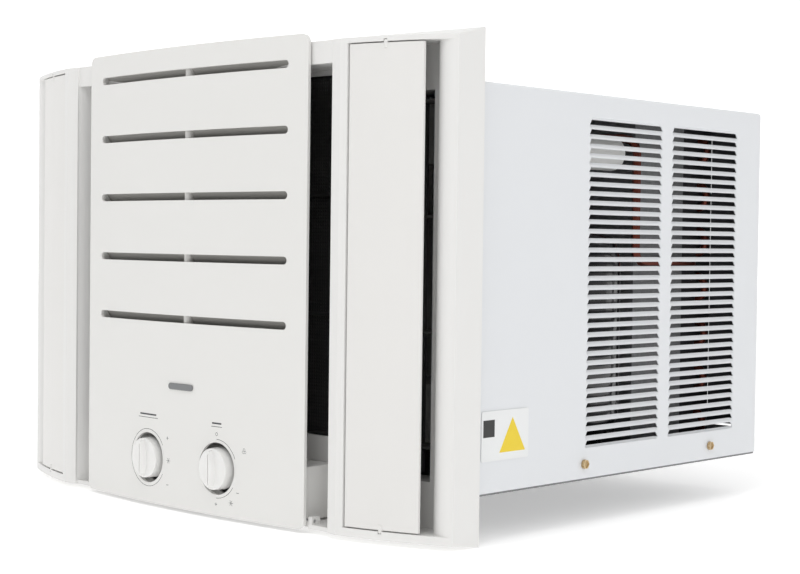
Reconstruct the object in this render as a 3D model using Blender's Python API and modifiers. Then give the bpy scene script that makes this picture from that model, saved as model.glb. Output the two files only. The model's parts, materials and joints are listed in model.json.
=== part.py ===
"""Window air conditioner: front bezel with two side outlets, hinged grille panel, chassis and refrigerant loop.

Metres, +Z up, front towards -Y. The origin lies on the base pan's underside, in the plane of the bezel's rear lip.
"""
import math

import bmesh
import bpy
from mathutils import Matrix, Vector

# ---------------------------------------------------------------- driving dimensions (metres)
CABINET_W = 0.546  # over the side sheets
CABINET_H = 0.323  # base pan's underside to the top sheet
CABINET_D = 0.408  # bezel's rear lip to the rear edge
SHEET_T = 0.0012  # cabinet and pan sheet
GAP = 0.0003  # clearance between pieces that touch
FIT_GAP = 0.0006  # clearance round the cabinet inside the bezel and round the pan

BEZEL_SIDE = 0.008  # the bezel's overhang beyond the cabinet at each side
BEZEL_TOP = 0.040  # above the cabinet
BEZEL_BOTTOM = 0.037  # below the base pan
BEZEL_T = 0.003  # moulded wall
BEZEL_DRAFT = 0.0075  # how much lower the front edge is than the rear lip
RIM_Y = 0.0286  # depth of the outer front edge
CROWN_Y = 0.0605  # depth of the crown beside the intake recess
WING_BOW = 0.0035  # how far a wing bulges between its crown and its outer edge
BEZEL_CORNER_R = 0.0012
LIP_R = 0.0195  # rolled outer wall of an outlet
LIP_EDGE = 0.0010  # flat strip left outside that roll
THROAT_SIDE = 0.0410  # throat to the bezel's outer side
RECESS_DRAFT = 0.0170  # how far each side wall of the intake recess closes in towards its back
BAND_Y = 0.0555  # depth of the band behind the panel

PANEL_W = 0.294
PANEL_EDGE_Y = 0.060  # outer face of the panel at its side edges
PANEL_BULGE = 0.009  # how far the middle stands in front of the edges
PANEL_T = 0.003
PANEL_CORNER_R = 0.007
SLOT_COUNT = 5
SLOT_PITCH = 0.0527
SLOT_TOP = 0.0230  # panel's top edge to the first slot
SLOT_SIDE = 0.021  # panel's side edge to a slot's end
SLOT_H = 0.0065
SLOT_RIB_T = 0.004

KNOB_D = 0.036
KNOB_SPACING = 0.094
KNOB_HOLE_CLEAR = 0.004  # radial gap round a knob
KNOB_DEPTH = 0.016
KNOB_RIDGE_H = 0.0050  # grip above the disc
KNOB_RIDGE_HALF = 0.0044
KNOB_RIDGE_REACH = 0.0165  # grip's end to the knob's axis
SWITCH_PLATE_HALF = 0.0250
SWITCH_PLATE_T = 0.0015
SHAFT_D = 0.006
VANE_T = 0.0022
VANE_SINK = 0.0009  # vane's face behind the wing's
VANE_SIDE = 0.0275  # vane's outer edge to the bezel's outer side
PIVOT_R = 0.0020
RUNNING_CLEAR = 0.0004  # radial gap of a moulded pivot in its hole
PIN_IN = 0.0040  # a pivot's length along the vane or blade it grows from
PIN_OUT = 0.0024  # and beyond its end
BLADE_COUNT = 4
BLADE_CHORD = 0.022
BLADE_T = 0.0018
BLADE_BELOW = 0.0260  # throat's floor to the lowest blade
BLADE_ABOVE = 0.0078  # highest blade to the throat's roof

LOUVRE_ROWS = 35
LOUVRE_OPEN = 0.0045
LOUVRE_W = 0.0985
LOUVRE_GAP = 0.0210  # between the two columns
LOUVRE_BACK = 0.0450  # second column to the cabinet's rear edge
LOUVRE_TOP = 0.0215  # first row to the cabinet's top
LOUVRE_BOTTOM = 0.0334  # last row above the base pan's underside
SCREW_AF = 0.008
SCREW_SHANK_R = 0.002
SCREW_Z = 0.014
SCREW_BACKS = (0.267, 0.080)  # from the cabinet's rear edge
LABEL_Y = 0.010
LABEL_Z = 0.027
LABEL_W = 0.057
LABEL_H = 0.0395

COLD_D = 0.137  # bezel's rear lip to the bulkhead
EVAP_FRONT = 0.0082
EVAP_T = 0.0380
COND_T = 0.0560
COND_BACK = 0.0142  # condenser to the cabinet's rear edge
COND_SIDE = 0.0490  # condenser's fins to the cabinet's side
BLOWER_D = 0.1906
BLOWER_W = 0.0588
BLOWER_BACK = 0.0175  # wheel to the bulkhead
SCROLL_BLOCK_H = 0.0560
FAN_D = 0.2228
FAN_W = 0.0294
SHAFT_R = 0.004
MOTOR_D = 0.0950
MOTOR_L = 0.0796
MOTOR_FRONT = 0.0122  # bulkhead to the motor
SHROUD_DEPTH = 0.0780
COMP_D = 0.1078
COMP_H = 0.1963
COMP_SIDE = 0.0738  # compressor's axis to the cabinet's side
COMP_FRONT = 0.0082  # bulkhead to the compressor
GROMMET_H = 0.0163
ACCUMULATOR_R = 0.0150
ACCUMULATOR_L = 0.1290
ACCUMULATOR_Z = 0.0650
SUCTION_R = 0.0045
DISCHARGE_R = 0.0038
OUTLET_TUBE_R = 0.0032
OUTLET_RUN_Z = 0.0453  # lowest run of the condenser's outlet tube
OUTLET_RISE = 0.0520  # from that run up to the drier
CAPILLARY_R = 0.0016
DRIER_L = 0.0840
DRIER_R = 0.0082
CAPACITOR_R = 0.0150
CAPACITOR_L = 0.0800
LINES_TOP = 0.0307  # refrigerant lines below the cabinet's top

SHARP_ANGLE = math.radians(35)  # edges sharper than this stay crisp

# ---------------------------------------------------------------- sizes that follow from the ones above
HALF_W = CABINET_W / 2
FLANGE_HALF = HALF_W + BEZEL_SIDE
FLANGE_Z0 = -BEZEL_BOTTOM
FLANGE_Z1 = CABINET_H + BEZEL_TOP
FRONT_Z0 = FLANGE_Z0 + BEZEL_DRAFT / 2
FRONT_Z1 = FLANGE_Z1 - BEZEL_DRAFT
PANEL_HALF = PANEL_W / 2
RECESS_HALF = PANEL_HALF + 0.025
CROWN_HALF = RECESS_HALF + 0.012
OUTLET_IN = CROWN_HALF + 0.0065
RIM_HALF = FLANGE_HALF - 0.0013
LIP_X = RIM_HALF - LIP_EDGE
THROAT_OUT = FLANGE_HALF - THROAT_SIDE
RECESS_BACK_HALF = RECESS_HALF - RECESS_DRAFT
RECESS_Z0 = FRONT_Z0 + 0.0035
RECESS_Z1 = FRONT_Z1 - 0.0175
RECESS_Y = 0.017
PANEL_Z0 = FRONT_Z0 - 0.001
PANEL_Z1 = FRONT_Z1 + 0.007
OUTLET_Z0 = FRONT_Z0 + 0.007
OUTLET_Z1 = FRONT_Z1 - 0.004
THROAT_Z0 = 0.010
THROAT_Z1 = CABINET_H - 0.0065
DUCT_T = 0.0025
DUCT_Y1 = 0.015
TUB_Y1 = -0.0095  # rear of the outlet tubs

KNOB_Z = 0.0054
KNOB_X = KNOB_SPACING / 2
KNOB_HOLE_R = KNOB_D / 2 + KNOB_HOLE_CLEAR
BOX_HALF = PANEL_HALF - 0.007
BOX_Z0 = RECESS_Z0 + 0.0015
BOX_Z1 = 0.0148
BOX_Y0 = -(PANEL_EDGE_Y - PANEL_T - 0.0005)
BOX_Y1 = -(RECESS_Y + 0.001)
BOX_T = 0.002

PAN_HALF = HALF_W - SHEET_T - FIT_GAP
BULKHEAD_Y = COLD_D
EVAP_Y0 = EVAP_FRONT
EVAP_Y1 = EVAP_Y0 + EVAP_T
ORIFICE_Y = EVAP_Y1 + 0.0057
AXIS_Z = CABINET_H / 2
BLOWER_R = BLOWER_D / 2
FAN_R = FAN_D / 2
MOTOR_R = MOTOR_D / 2
MOTOR_Y0 = BULKHEAD_Y + MOTOR_FRONT
MOTOR_Y1 = MOTOR_Y0 + MOTOR_L
COND_Y1 = CABINET_D - COND_BACK
COND_Y0 = COND_Y1 - COND_T
COND_HALF = HALF_W - COND_SIDE
SHROUD_Y = COND_Y0 - SHROUD_DEPTH
FAN_Y0 = SHROUD_Y - 0.42 * FAN_W
FAN_Y1 = FAN_Y0 + FAN_W
COMP_R = COMP_D / 2
COMP_X = HALF_W - COMP_SIDE
COMP_Y = BULKHEAD_Y + COMP_FRONT + COMP_R
COMP_Z0 = 0.0185
COMP_Z1 = COMP_Z0 + COMP_H
LINES_Z = CABINET_H - LINES_TOP

# ---------------------------------------------------------------- scene and collections
for old in list(bpy.data.objects):
    bpy.data.objects.remove(old, do_unlink=True)

UNIT = bpy.data.collections.new("window_air_conditioner")
TOOLS = bpy.data.collections.new("cutters")
bpy.context.scene.collection.children.link(UNIT)
bpy.context.scene.collection.children.link(TOOLS)


def material(name, colour, metallic, roughness):
    made = bpy.data.materials.new(name)
    made.use_nodes = True
    shader = made.node_tree.nodes["Principled BSDF"]
    shader.inputs["Base Color"].default_value = (*colour, 1.0)
    shader.inputs["Metallic"].default_value = metallic
    shader.inputs["Roughness"].default_value = roughness
    made.diffuse_color = (*colour, 1.0)
    return made


# ---------------------------------------------------------------- shape helpers
def box(bm, x0, x1, y0, y1, z0, z1):
    middle = Matrix.Translation(((x0 + x1) / 2, (y0 + y1) / 2, (z0 + z1) / 2))
    size = Matrix.Diagonal((abs(x1 - x0), abs(y1 - y0), abs(z1 - z0), 1.0))
    bmesh.ops.create_cube(bm, size=1.0, matrix=middle @ size)


def cylinder(bm, centre, axis, radius, length, segments=16, radius2=None, phase=0.0):
    """A closed cylinder or cone about the centre, along the axis, its corners turned by the phase."""
    turn = Vector((0, 0, 1)).rotation_difference(Vector(axis)).to_matrix().to_4x4()
    turn = turn @ Matrix.Rotation(phase, 4, "Z")
    top = radius if radius2 is None else radius2
    bmesh.ops.create_cone(
        bm,
        cap_ends=True,
        segments=segments,
        radius1=radius,
        radius2=top,
        depth=length,
        matrix=Matrix.Translation(centre) @ turn,
    )


def prism(bm, outline, axis, low, high):
    """The closed outline, given in the two other axes in X, Y, Z order, run along the axis from low to high."""
    places = {"X": (1, 2, 0), "Y": (0, 2, 1), "Z": (0, 1, 2)}[axis]
    loop = []
    for first, second in outline:
        point = [0.0, 0.0, 0.0]
        point[places[0]] = first
        point[places[1]] = second
        point[places[2]] = low
        loop.append(bm.verts.new(point))
    face = bm.faces.new(loop)
    shift = [0.0, 0.0, 0.0]
    shift[places[2]] = high - low
    made = bmesh.ops.extrude_face_region(bm, geom=[face])["geom"]
    moved = [item for item in made if isinstance(item, bmesh.types.BMVert)]
    bmesh.ops.translate(bm, vec=shift, verts=moved)


def rounded(x0, x1, z0, z1, radius, steps=3):
    """A rectangle outline with rounded corners."""
    points = []
    corners = (
        (x1 - radius, z1 - radius, 0),
        (x0 + radius, z1 - radius, 90),
        (x0 + radius, z0 + radius, 180),
        (x1 - radius, z0 + radius, 270),
    )
    for cx, cz, start in corners:
        for step in range(steps + 1):
            angle = math.radians(start + 90 * step / steps)
            points.append((cx + radius * math.cos(angle), cz + radius * math.sin(angle)))
    return points


def ring(cx, cy, radius, segments, phase=0.0):
    points = []
    for step in range(segments):
        angle = phase + 2 * math.pi * step / segments
        points.append((cx + radius * math.cos(angle), cy + radius * math.sin(angle)))
    return points


def finish(name, bm, mat, origin=(0.0, 0.0, 0.0), collection=None):
    """Turns the bmesh, held in world metres, into an object whose origin is the given point."""
    bmesh.ops.recalc_face_normals(bm, faces=bm.faces)
    bmesh.ops.translate(bm, vec=-Vector(origin), verts=bm.verts)
    mesh = bpy.data.meshes.new(name)
    bm.to_mesh(mesh)
    bm.free()
    mesh.shade_smooth()
    mesh.set_sharp_from_angle(angle=SHARP_ANGLE)
    obj = bpy.data.objects.new(name, mesh)
    obj.location = origin
    if mat is not None:
        obj.data.materials.append(mat)
    (collection or UNIT).objects.link(obj)
    return obj


def tool(name, bm):
    obj = finish(name, bm, None, collection=TOOLS)
    obj.hide_render = True
    obj.display_type = "WIRE"
    return obj


def boolean(obj, other, operation):
    modifier = obj.modifiers.new(other.name, "BOOLEAN")
    modifier.operation = operation
    modifier.solver = "EXACT"
    modifier.object = other
    modifier.use_self = True
    return modifier


def cut(obj, name, bm):
    return boolean(obj, tool("cut_" + name, bm), "DIFFERENCE")


def join(obj, name, bm):
    return boolean(obj, tool("add_" + name, bm), "UNION")


def tube(name, points, radius, mat, bend=0.010, steps=3):
    """A round tube along the points, with each corner turned into an arc."""
    path = [Vector(point) for point in points]
    smooth = [path[0]]
    for before, here, after in zip(path, path[1:], path[2:]):
        into = (before - here).normalized()
        out = (after - here).normalized()
        reach = min(bend, (before - here).length * 0.45, (after - here).length * 0.45)
        first = here + into * reach
        last = here + out * reach
        for step in range(steps + 1):
            t = step / steps
            smooth.append(first * (1 - t) ** 2 + here * 2 * t * (1 - t) + last * t * t)
    smooth.append(path[-1])
    curve = bpy.data.curves.new(name, "CURVE")
    curve.dimensions = "3D"
    curve.bevel_depth = radius
    curve.bevel_resolution = 1
    curve.use_fill_caps = True
    spline = curve.splines.new("POLY")
    spline.points.add(len(smooth) - 1)
    for place, point in zip(spline.points, smooth):
        place.co = (*point, 1.0)
    obj = bpy.data.objects.new(name, curve)
    obj.data.materials.append(mat)
    UNIT.objects.link(obj)
    return obj


# ---------------------------------------------------------------- front bezel
def front_hull(bm, side, rear_y, top, bottom, front_in, crown_half, crown_y, rim_y, corner):
    """Convex shell of the bezel: rear outline, outer front edge and crown."""
    rim_half = side - (FLANGE_HALF - RIM_HALF)
    loops = [(rear_y, side, FLANGE_Z0 + bottom, FLANGE_Z1 - top, corner)]
    for share in (0.0, 0.2, 0.4, 0.6, 0.8, 1.0):
        half = crown_half + (rim_half - crown_half) * share
        y = crown_y + (rim_y - crown_y) * share - WING_BOW * 4 * share * (1 - share)
        loops.append((y, half, FRONT_Z0 + front_in, FRONT_Z1 - front_in, corner))
    for y, half, z0, z1, radius in loops:
        for x, z in rounded(-half, half, z0, z1, radius):
            bm.verts.new((x, y, z))
    bmesh.ops.convex_hull(bm, input=bm.verts)
    loose = [vert for vert in bm.verts if not vert.link_faces]
    bmesh.ops.delete(bm, geom=loose, context="VERTS")


def slope_y(x):
    """Y of the bezel's sloping face at the given distance from the middle."""
    share = (abs(x) - CROWN_HALF) / (RIM_HALF - CROWN_HALF)
    return -CROWN_Y + (CROWN_Y - RIM_Y) * share - WING_BOW * 4 * share * (1 - share)


VANE_IN = OUTLET_IN + 0.0015
VANE_OUT = FLANGE_HALF - VANE_SIDE
VANE_X = (VANE_IN + VANE_OUT) / 2
VANE_Y = slope_y(VANE_X) + VANE_SINK + VANE_T / 2
LIP_TILT = math.atan2(slope_y(LIP_X) - slope_y(LIP_X - 0.0005), 0.0005)
LIP_CENTRE = (LIP_X - LIP_R * math.sin(LIP_TILT), slope_y(LIP_X) + LIP_R * math.cos(LIP_TILT))
BLADE_LOW = THROAT_Z0 + BLADE_BELOW
BLADE_HIGH = THROAT_Z1 - BLADE_ABOVE
BLADE_Z = [BLADE_LOW + (BLADE_HIGH - BLADE_LOW) * row / (BLADE_COUNT - 1) for row in range(BLADE_COUNT)]
BLADE_Y = 0.002
FILTER_Y0 = -(RECESS_Y - BEZEL_T) + GAP
FILTER_Y1 = FILTER_Y0 + 0.005
FILTER_HALF = PANEL_HALF + 0.006
FILTER_Z0 = 0.032
FILTER_Z1 = FLANGE_Z1 - 0.0055
HINGE_Y = -0.0520
HINGE_Z = RECESS_Z0 + 0.0025
HINGE_R = 0.0012
EAR_X0 = PANEL_HALF - 0.0050
EAR_X1 = PANEL_HALF - 0.0010


def lip_points(radius, floor_y, steps=14):
    """Plan of an outlet's outer wall on the right: an arc from the front edge round to the tub's floor."""
    cx, cy = LIP_CENTRE
    start = LIP_TILT - math.pi / 2
    end = -math.pi + math.asin(max(0.0, cy - floor_y) / radius)
    points = []
    for step in range(steps + 1):
        angle = start + (end - start) * step / steps
        points.append((cx + radius * math.cos(angle), cy + radius * math.sin(angle)))
    if floor_y > cy:
        points.append((cx - radius, floor_y))
    return points


def build_bezel(mat):
    bm = bmesh.new()
    front_hull(bm, FLANGE_HALF, 0.0, 0.0, 0.0, 0.0, CROWN_HALF, -CROWN_Y, -RIM_Y, BEZEL_CORNER_R)
    bezel = finish("front_bezel", bm, mat)

    bm = bmesh.new()
    t = BEZEL_T
    front_hull(
        bm, FLANGE_HALF - t, -t, t, t, t, CROWN_HALF - 0.003, -CROWN_Y + 0.0085, -RIM_Y + t, BEZEL_CORNER_R / 2
    )
    cut(bezel, "bezel_inside", bm)

    bm = bmesh.new()
    band_x = CROWN_HALF + 0.0017
    band_y = -CROWN_Y - 0.0006
    band = [
        (-band_x, band_y),
        (-RECESS_HALF, -CROWN_Y + 0.003),
        (-RECESS_HALF, -BAND_Y),
        (RECESS_HALF, -BAND_Y),
        (RECESS_HALF, -CROWN_Y + 0.003),
        (band_x, band_y),
        (band_x, -CROWN_Y - 0.010),
        (-band_x, -CROWN_Y - 0.010),
    ]
    prism(bm, band, "Z", FLANGE_Z0 - 0.01, FLANGE_Z1 + 0.01)
    cut(bezel, "bezel_band", bm)

    # tubs of the intake recess and of the two outlets
    bm = bmesh.new()
    outline = [
        (-RECESS_HALF - t, -BAND_Y + 0.0035),
        (RECESS_HALF + t, -BAND_Y + 0.0035),
        (RECESS_BACK_HALF + t, -RECESS_Y + t),
        (-RECESS_BACK_HALF - t, -RECESS_Y + t),
    ]
    prism(bm, outline, "Z", RECESS_Z0 - 0.002, RECESS_Z1 + t)
    join(bezel, "recess_tub", bm)
    for sign, side in ((-1, "left"), (1, "right")):
        x0 = OUTLET_IN - DUCT_T
        bm = bmesh.new()
        front = [x0 + (LIP_X - x0) * step / 8 for step in range(9)]
        outline = [(x, slope_y(x) + BEZEL_T / 2) for x in front]
        outline += lip_points(LIP_R - DUCT_T, TUB_Y1)
        outline.append((x0, TUB_Y1))
        outline = [(sign * x, y) for x, y in outline]
        prism(bm, outline, "Z", OUTLET_Z0 - DUCT_T, OUTLET_Z1 + DUCT_T)
        join(bezel, side + "_tub", bm)
        bm = bmesh.new()
        duct_out = THROAT_OUT + DUCT_T
        box(bm, sign * x0, sign * duct_out, TUB_Y1 - 0.0015, DUCT_Y1, THROAT_Z0 - DUCT_T, THROAT_Z1 + DUCT_T)
        join(bezel, side + "_duct", bm)

    bm = bmesh.new()
    outline = [
        (-RECESS_HALF, -0.08),
        (RECESS_HALF, -0.08),
        (RECESS_HALF, -BAND_Y),
        (RECESS_BACK_HALF, -RECESS_Y),
        (-RECESS_BACK_HALF, -RECESS_Y),
        (-RECESS_HALF, -BAND_Y),
    ]
    prism(bm, outline, "Z", RECESS_Z0, RECESS_Z1)
    cut(bezel, "recess", bm)
    bm = bmesh.new()
    window = FILTER_HALF - 0.006
    box(bm, -window, window, -0.03, 0.01, FILTER_Z0 + 0.004, RECESS_Z1 - 0.004)
    cut(bezel, "filter_window", bm)
    for sign, side in ((-1, "left"), (1, "right")):
        bm = bmesh.new()
        floor_y = TUB_Y1 - DUCT_T
        outline = [(OUTLET_IN, -0.08), (LIP_X, -0.08)] + lip_points(LIP_R, floor_y) + [(OUTLET_IN, floor_y)]
        outline = [(sign * x, y) for x, y in outline]
        prism(bm, outline, "Z", OUTLET_Z0, OUTLET_Z1)
        cut(bezel, side + "_outlet", bm)
        bm = bmesh.new()
        box(bm, sign * OUTLET_IN, sign * THROAT_OUT, -0.03, 0.03, THROAT_Z0, THROAT_Z1)
        cut(bezel, side + "_throat", bm)
        # pivot holes of the vane and of the blades
        bm = bmesh.new()
        middle = (sign * VANE_X, VANE_Y, (OUTLET_Z0 + OUTLET_Z1) / 2)
        reach = OUTLET_Z1 - OUTLET_Z0 + 2 * DUCT_T - 0.0012
        cylinder(bm, middle, (0, 0, 1), PIVOT_R + RUNNING_CLEAR, reach, 12)
        cut(bezel, side + "_vane_pivots", bm)
        bm = bmesh.new()
        for z in BLADE_Z:
            middle = (sign * (OUTLET_IN + THROAT_OUT) / 2, BLADE_Y, z)
            reach = THROAT_OUT - OUTLET_IN + 2 * DUCT_T - 0.0010
            # turned half a step, so that no corners of the four holes stand in one line
            cylinder(bm, middle, (1, 0, 0), PIVOT_R + RUNNING_CLEAR, reach, 16, phase=math.pi / 16)
        cut(bezel, side + "_blade_pivots", bm)

    # lugs that carry the panel's hinge pins, and the way for the panel's foot
    bm = bmesh.new()
    for sign in (-1, 1):
        x0 = sign * (PANEL_HALF + 0.0005)
        x1 = sign * (PANEL_HALF + 0.0045)
        box(bm, x0, x1, HINGE_Y - 0.0032, HINGE_Y + 0.0060, RECESS_Z0 - 0.001, HINGE_Z + 0.0035)
    join(bezel, "hinge_lugs", bm)
    bm = bmesh.new()
    box(
        bm,
        -PANEL_HALF - 0.0002,
        PANEL_HALF + 0.0002,
        -0.08,
        HINGE_Y + 0.0045,
        FLANGE_Z0 - 0.01,
        RECESS_Z0 + 0.001,
    )
    cut(bezel, "foot_way", bm)
    bm = bmesh.new()
    for sign in (-1, 1):
        cylinder(bm, (sign * (PANEL_HALF + 0.002), HINGE_Y, HINGE_Z), (1, 0, 0), HINGE_R + GAP, 0.02, 12)
    cut(bezel, "hinge_holes", bm)

    # slot for the filter, and the opening that takes the cabinet
    bm = bmesh.new()
    box(
        bm,
        -FILTER_HALF - 0.002,
        FILTER_HALF + 0.002,
        FILTER_Y0 - 0.0001,
        FILTER_Y1 + 0.001,
        CABINET_H,
        FLANGE_Z1 + 0.02,
    )
    cut(bezel, "filter_slot", bm)
    bm = bmesh.new()
    edge = HALF_W + FIT_GAP
    box(bm, -edge, edge, -t - 0.0015, 0.01, -FIT_GAP, CABINET_H + FIT_GAP)
    opening = cut(bezel, "cabinet_opening", bm)
    # the ducts run on through that opening, so it is cut before they are added
    order = [modifier.name for modifier in bezel.modifiers]
    bezel.modifiers.move(order.index(opening.name), 1)
    return bezel


# ---------------------------------------------------------------- front panel
def panel_y(x):
    return -PANEL_EDGE_Y - PANEL_BULGE * (1 - (x / PANEL_HALF) ** 2)


def build_panel(mat):
    steps = 16
    outline = []
    for step in range(steps + 1):
        x = -PANEL_HALF + PANEL_W * step / steps
        outline.append((x, panel_y(x)))
    for step in range(steps, -1, -1):
        x = -PANEL_HALF + PANEL_W * step / steps
        outline.append((x, panel_y(x) + PANEL_T))
    bm = bmesh.new()
    prism(bm, outline, "Z", PANEL_Z0, PANEL_Z1)
    panel = finish("front_panel", bm, mat, origin=(0.0, HINGE_Y, HINGE_Z))

    bm = bmesh.new()
    corners = rounded(-PANEL_HALF - 0.00005, PANEL_HALF + 0.00005, PANEL_Z0, PANEL_Z1, PANEL_CORNER_R)
    prism(bm, corners, "Y", -0.12, 0.0)
    boolean(panel, tool("keep_panel_corners", bm), "INTERSECT")

    bm = bmesh.new()
    box(bm, -SLOT_RIB_T / 2, SLOT_RIB_T / 2, -0.0680, -0.0590, SLOT_Z[-1] - 0.020, SLOT_Z[0] + 0.014)
    join(panel, "panel_rib", bm)
    bm = bmesh.new()
    for sign in (-1, 1):
        ear = [
            (-PANEL_EDGE_Y + 0.0012, HINGE_Z - 0.0030),
            (-PANEL_EDGE_Y + 0.0012, HINGE_Z + 0.0090),
            (HINGE_Y + 0.0012, HINGE_Z + 0.0028),
            (HINGE_Y + 0.0028, HINGE_Z + 0.0010),
            (HINGE_Y + 0.0028, HINGE_Z - 0.0012),
            (HINGE_Y + 0.0012, HINGE_Z - 0.0030),
        ]
        prism(bm, ear, "X", sign * EAR_X0, sign * EAR_X1)
    join(panel, "panel_ears", bm)

    bm = bmesh.new()
    half = SLOT_HALF
    for z in SLOT_Z:
        stadium = rounded(-half, half, z - SLOT_H / 2, z + SLOT_H / 2, SLOT_H / 2 - 0.0001, 4)
        prism(bm, stadium, "Y", -0.10, -PANEL_EDGE_Y + PANEL_T + 0.0010)
    for sign in (-1, 1):
        prism(bm, ring(sign * KNOB_X, KNOB_Z, KNOB_HOLE_R, 28), "Y", -0.10, -0.052)
    # the rib stays whole behind the slots
    slots = cut(panel, "panel_openings", bm)
    names = [modifier.name for modifier in panel.modifiers]
    panel.modifiers.move(names.index(slots.name), 1)
    bm = bmesh.new()
    for sign in (-1, 1):
        cylinder(bm, (sign * (EAR_X0 + EAR_X1) / 2, HINGE_Y, HINGE_Z), (1, 0, 0), HINGE_R + GAP, 0.012, 12)
    cut(panel, "ear_holes", bm)
    return panel


SLOT_HALF = PANEL_HALF - SLOT_SIDE
SLOT_Z = [PANEL_Z1 - SLOT_TOP - SLOT_PITCH * row for row in range(SLOT_COUNT)]


def build_pins(mat):
    for sign, side in ((-1, "left"), (1, "right")):
        bm = bmesh.new()
        x0 = EAR_X0 - 0.0005
        x1 = PANEL_HALF + 0.0043
        cylinder(bm, (sign * (x0 + x1) / 2, HINGE_Y, HINGE_Z), (1, 0, 0), HINGE_R, x1 - x0, 12)
        finish("panel_hinge_pin_" + side, bm, mat, origin=(sign * (x0 + x1) / 2, HINGE_Y, HINGE_Z))


def build_badge(mat):
    bm = bmesh.new()
    z = SLOT_Z[-1] - 0.0580
    y = panel_y(0.0) - GAP
    plate = rounded(-0.022, 0.022, z - 0.006, z + 0.006, 0.002)
    prism(bm, plate, "Y", y - 0.0008, y)
    finish("panel_badge", bm, mat, origin=(0.0, y, z))


def build_filter(frame_mat, mesh_mat):
    bm = bmesh.new()
    box(bm, -FILTER_HALF, FILTER_HALF, FILTER_Y0, FILTER_Y1, FILTER_Z0, FILTER_Z1)
    frame = finish("filter_frame", bm, frame_mat, origin=(0.0, (FILTER_Y0 + FILTER_Y1) / 2, FILTER_Z0))
    bm = bmesh.new()
    rim = 0.007
    rows = 3
    top = RECESS_Z1 - 0.001
    pitch = (top - FILTER_Z0 - rim) / rows
    for row in range(rows):
        for sign in (-1, 1):
            low = FILTER_Z0 + rim + pitch * row
            box(
                bm,
                sign * 0.0015,
                sign * (FILTER_HALF - rim),
                FILTER_Y0 - 0.01,
                FILTER_Y1 + 0.01,
                low,
                low + pitch - 0.003,
            )
    cut(frame, "filter_cells", bm)
    bm = bmesh.new()
    groove_y = (FILTER_Y0 + FILTER_Y1) / 2
    inset = rim - 0.003
    box(
        bm,
        -FILTER_HALF + inset,
        FILTER_HALF - inset,
        groove_y,
        FILTER_Y1 + 0.01,
        FILTER_Z0 + inset,
        top - 0.003 + 0.003,
    )
    cut(frame, "filter_seat", bm)
    bm = bmesh.new()
    box(
        bm,
        -FILTER_HALF + inset + GAP,
        FILTER_HALF - inset - GAP,
        groove_y + GAP,
        groove_y + GAP + 0.0008,
        FILTER_Z0 + inset + GAP,
        top - GAP,
    )
    finish("filter_mesh", bm, mesh_mat, origin=(0.0, groove_y, FILTER_Z0))


# ---------------------------------------------------------------- outlets
def build_vane(side, sign, mat):
    steps = 8
    across = [VANE_IN + (VANE_OUT - VANE_IN) * step / steps for step in range(steps + 1)]
    front = [(sign * x, slope_y(x) + VANE_SINK) for x in across]
    back = [(sign * x, slope_y(x) + VANE_SINK + VANE_T) for x in reversed(across)]
    low = OUTLET_Z0 + 0.0010
    high = OUTLET_Z1 - 0.0010
    bm = bmesh.new()
    prism(bm, front + back, "Z", low, high)
    vane = finish(side + "_vane", bm, mat, origin=(sign * VANE_X, VANE_Y, (low + high) / 2))
    bm = bmesh.new()
    for z in (low + (PIN_IN - PIN_OUT) / 2, high - (PIN_IN - PIN_OUT) / 2):
        cylinder(bm, (sign * VANE_X, VANE_Y, z), (0, 0, 1), PIVOT_R, PIN_IN + PIN_OUT, 12)
    join(vane, side + "_vane_pins", bm)


def build_blades(side, sign, blade_mat, link_mat):
    x0 = OUTLET_IN + 0.0010
    x1 = THROAT_OUT - 0.0010
    notch = x0 + 0.010
    peg_y = BLADE_Y + BLADE_CHORD / 2 - 0.0040
    for row, z in enumerate(BLADE_Z, start=1):
        bm = bmesh.new()
        y0 = BLADE_Y - BLADE_CHORD / 2
        y1 = BLADE_Y + BLADE_CHORD / 2
        outline = [
            (sign * x0, y0),
            (sign * x1, y0),
            (sign * x1, y1),
            (sign * (notch + 0.006), y1),
            (sign * (notch + 0.006), peg_y - 0.0035),
            (sign * notch, peg_y - 0.0035),
            (sign * notch, y1),
            (sign * x0, y1),
        ]
        prism(bm, outline, "Z", z - BLADE_T / 2, z + BLADE_T / 2)
        name = side + "_blade_" + str(row)
        blade = finish(name, bm, blade_mat, origin=(sign * (x0 + x1) / 2, BLADE_Y, z))
        bm = bmesh.new()
        for x in (x0 + (PIN_IN - PIN_OUT) / 2, x1 - (PIN_IN - PIN_OUT) / 2):
            cylinder(bm, (sign * x, BLADE_Y, z), (1, 0, 0), PIVOT_R, PIN_IN + PIN_OUT, 10)
        cylinder(bm, (sign * (notch + 0.003), peg_y, z), (1, 0, 0), 0.0012, 0.008, 8)
        join(blade, name + "_pins", bm)
    bm = bmesh.new()
    low = BLADE_Z[0] - 0.006
    high = BLADE_Z[-1] + 0.0026
    middle = sign * (notch + 0.003)
    box(bm, middle - 0.0015, middle + 0.0015, peg_y - 0.0026, peg_y + 0.0026, low, high)
    link = finish(side + "_blade_link", bm, link_mat, origin=(middle, peg_y, BLADE_Z[0]))
    bm = bmesh.new()
    for z in BLADE_Z:
        cylinder(bm, (middle, peg_y, z), (1, 0, 0), 0.0012 + RUNNING_CLEAR, 0.01, 10)
    cut(link, side + "_link_holes", bm)


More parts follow.
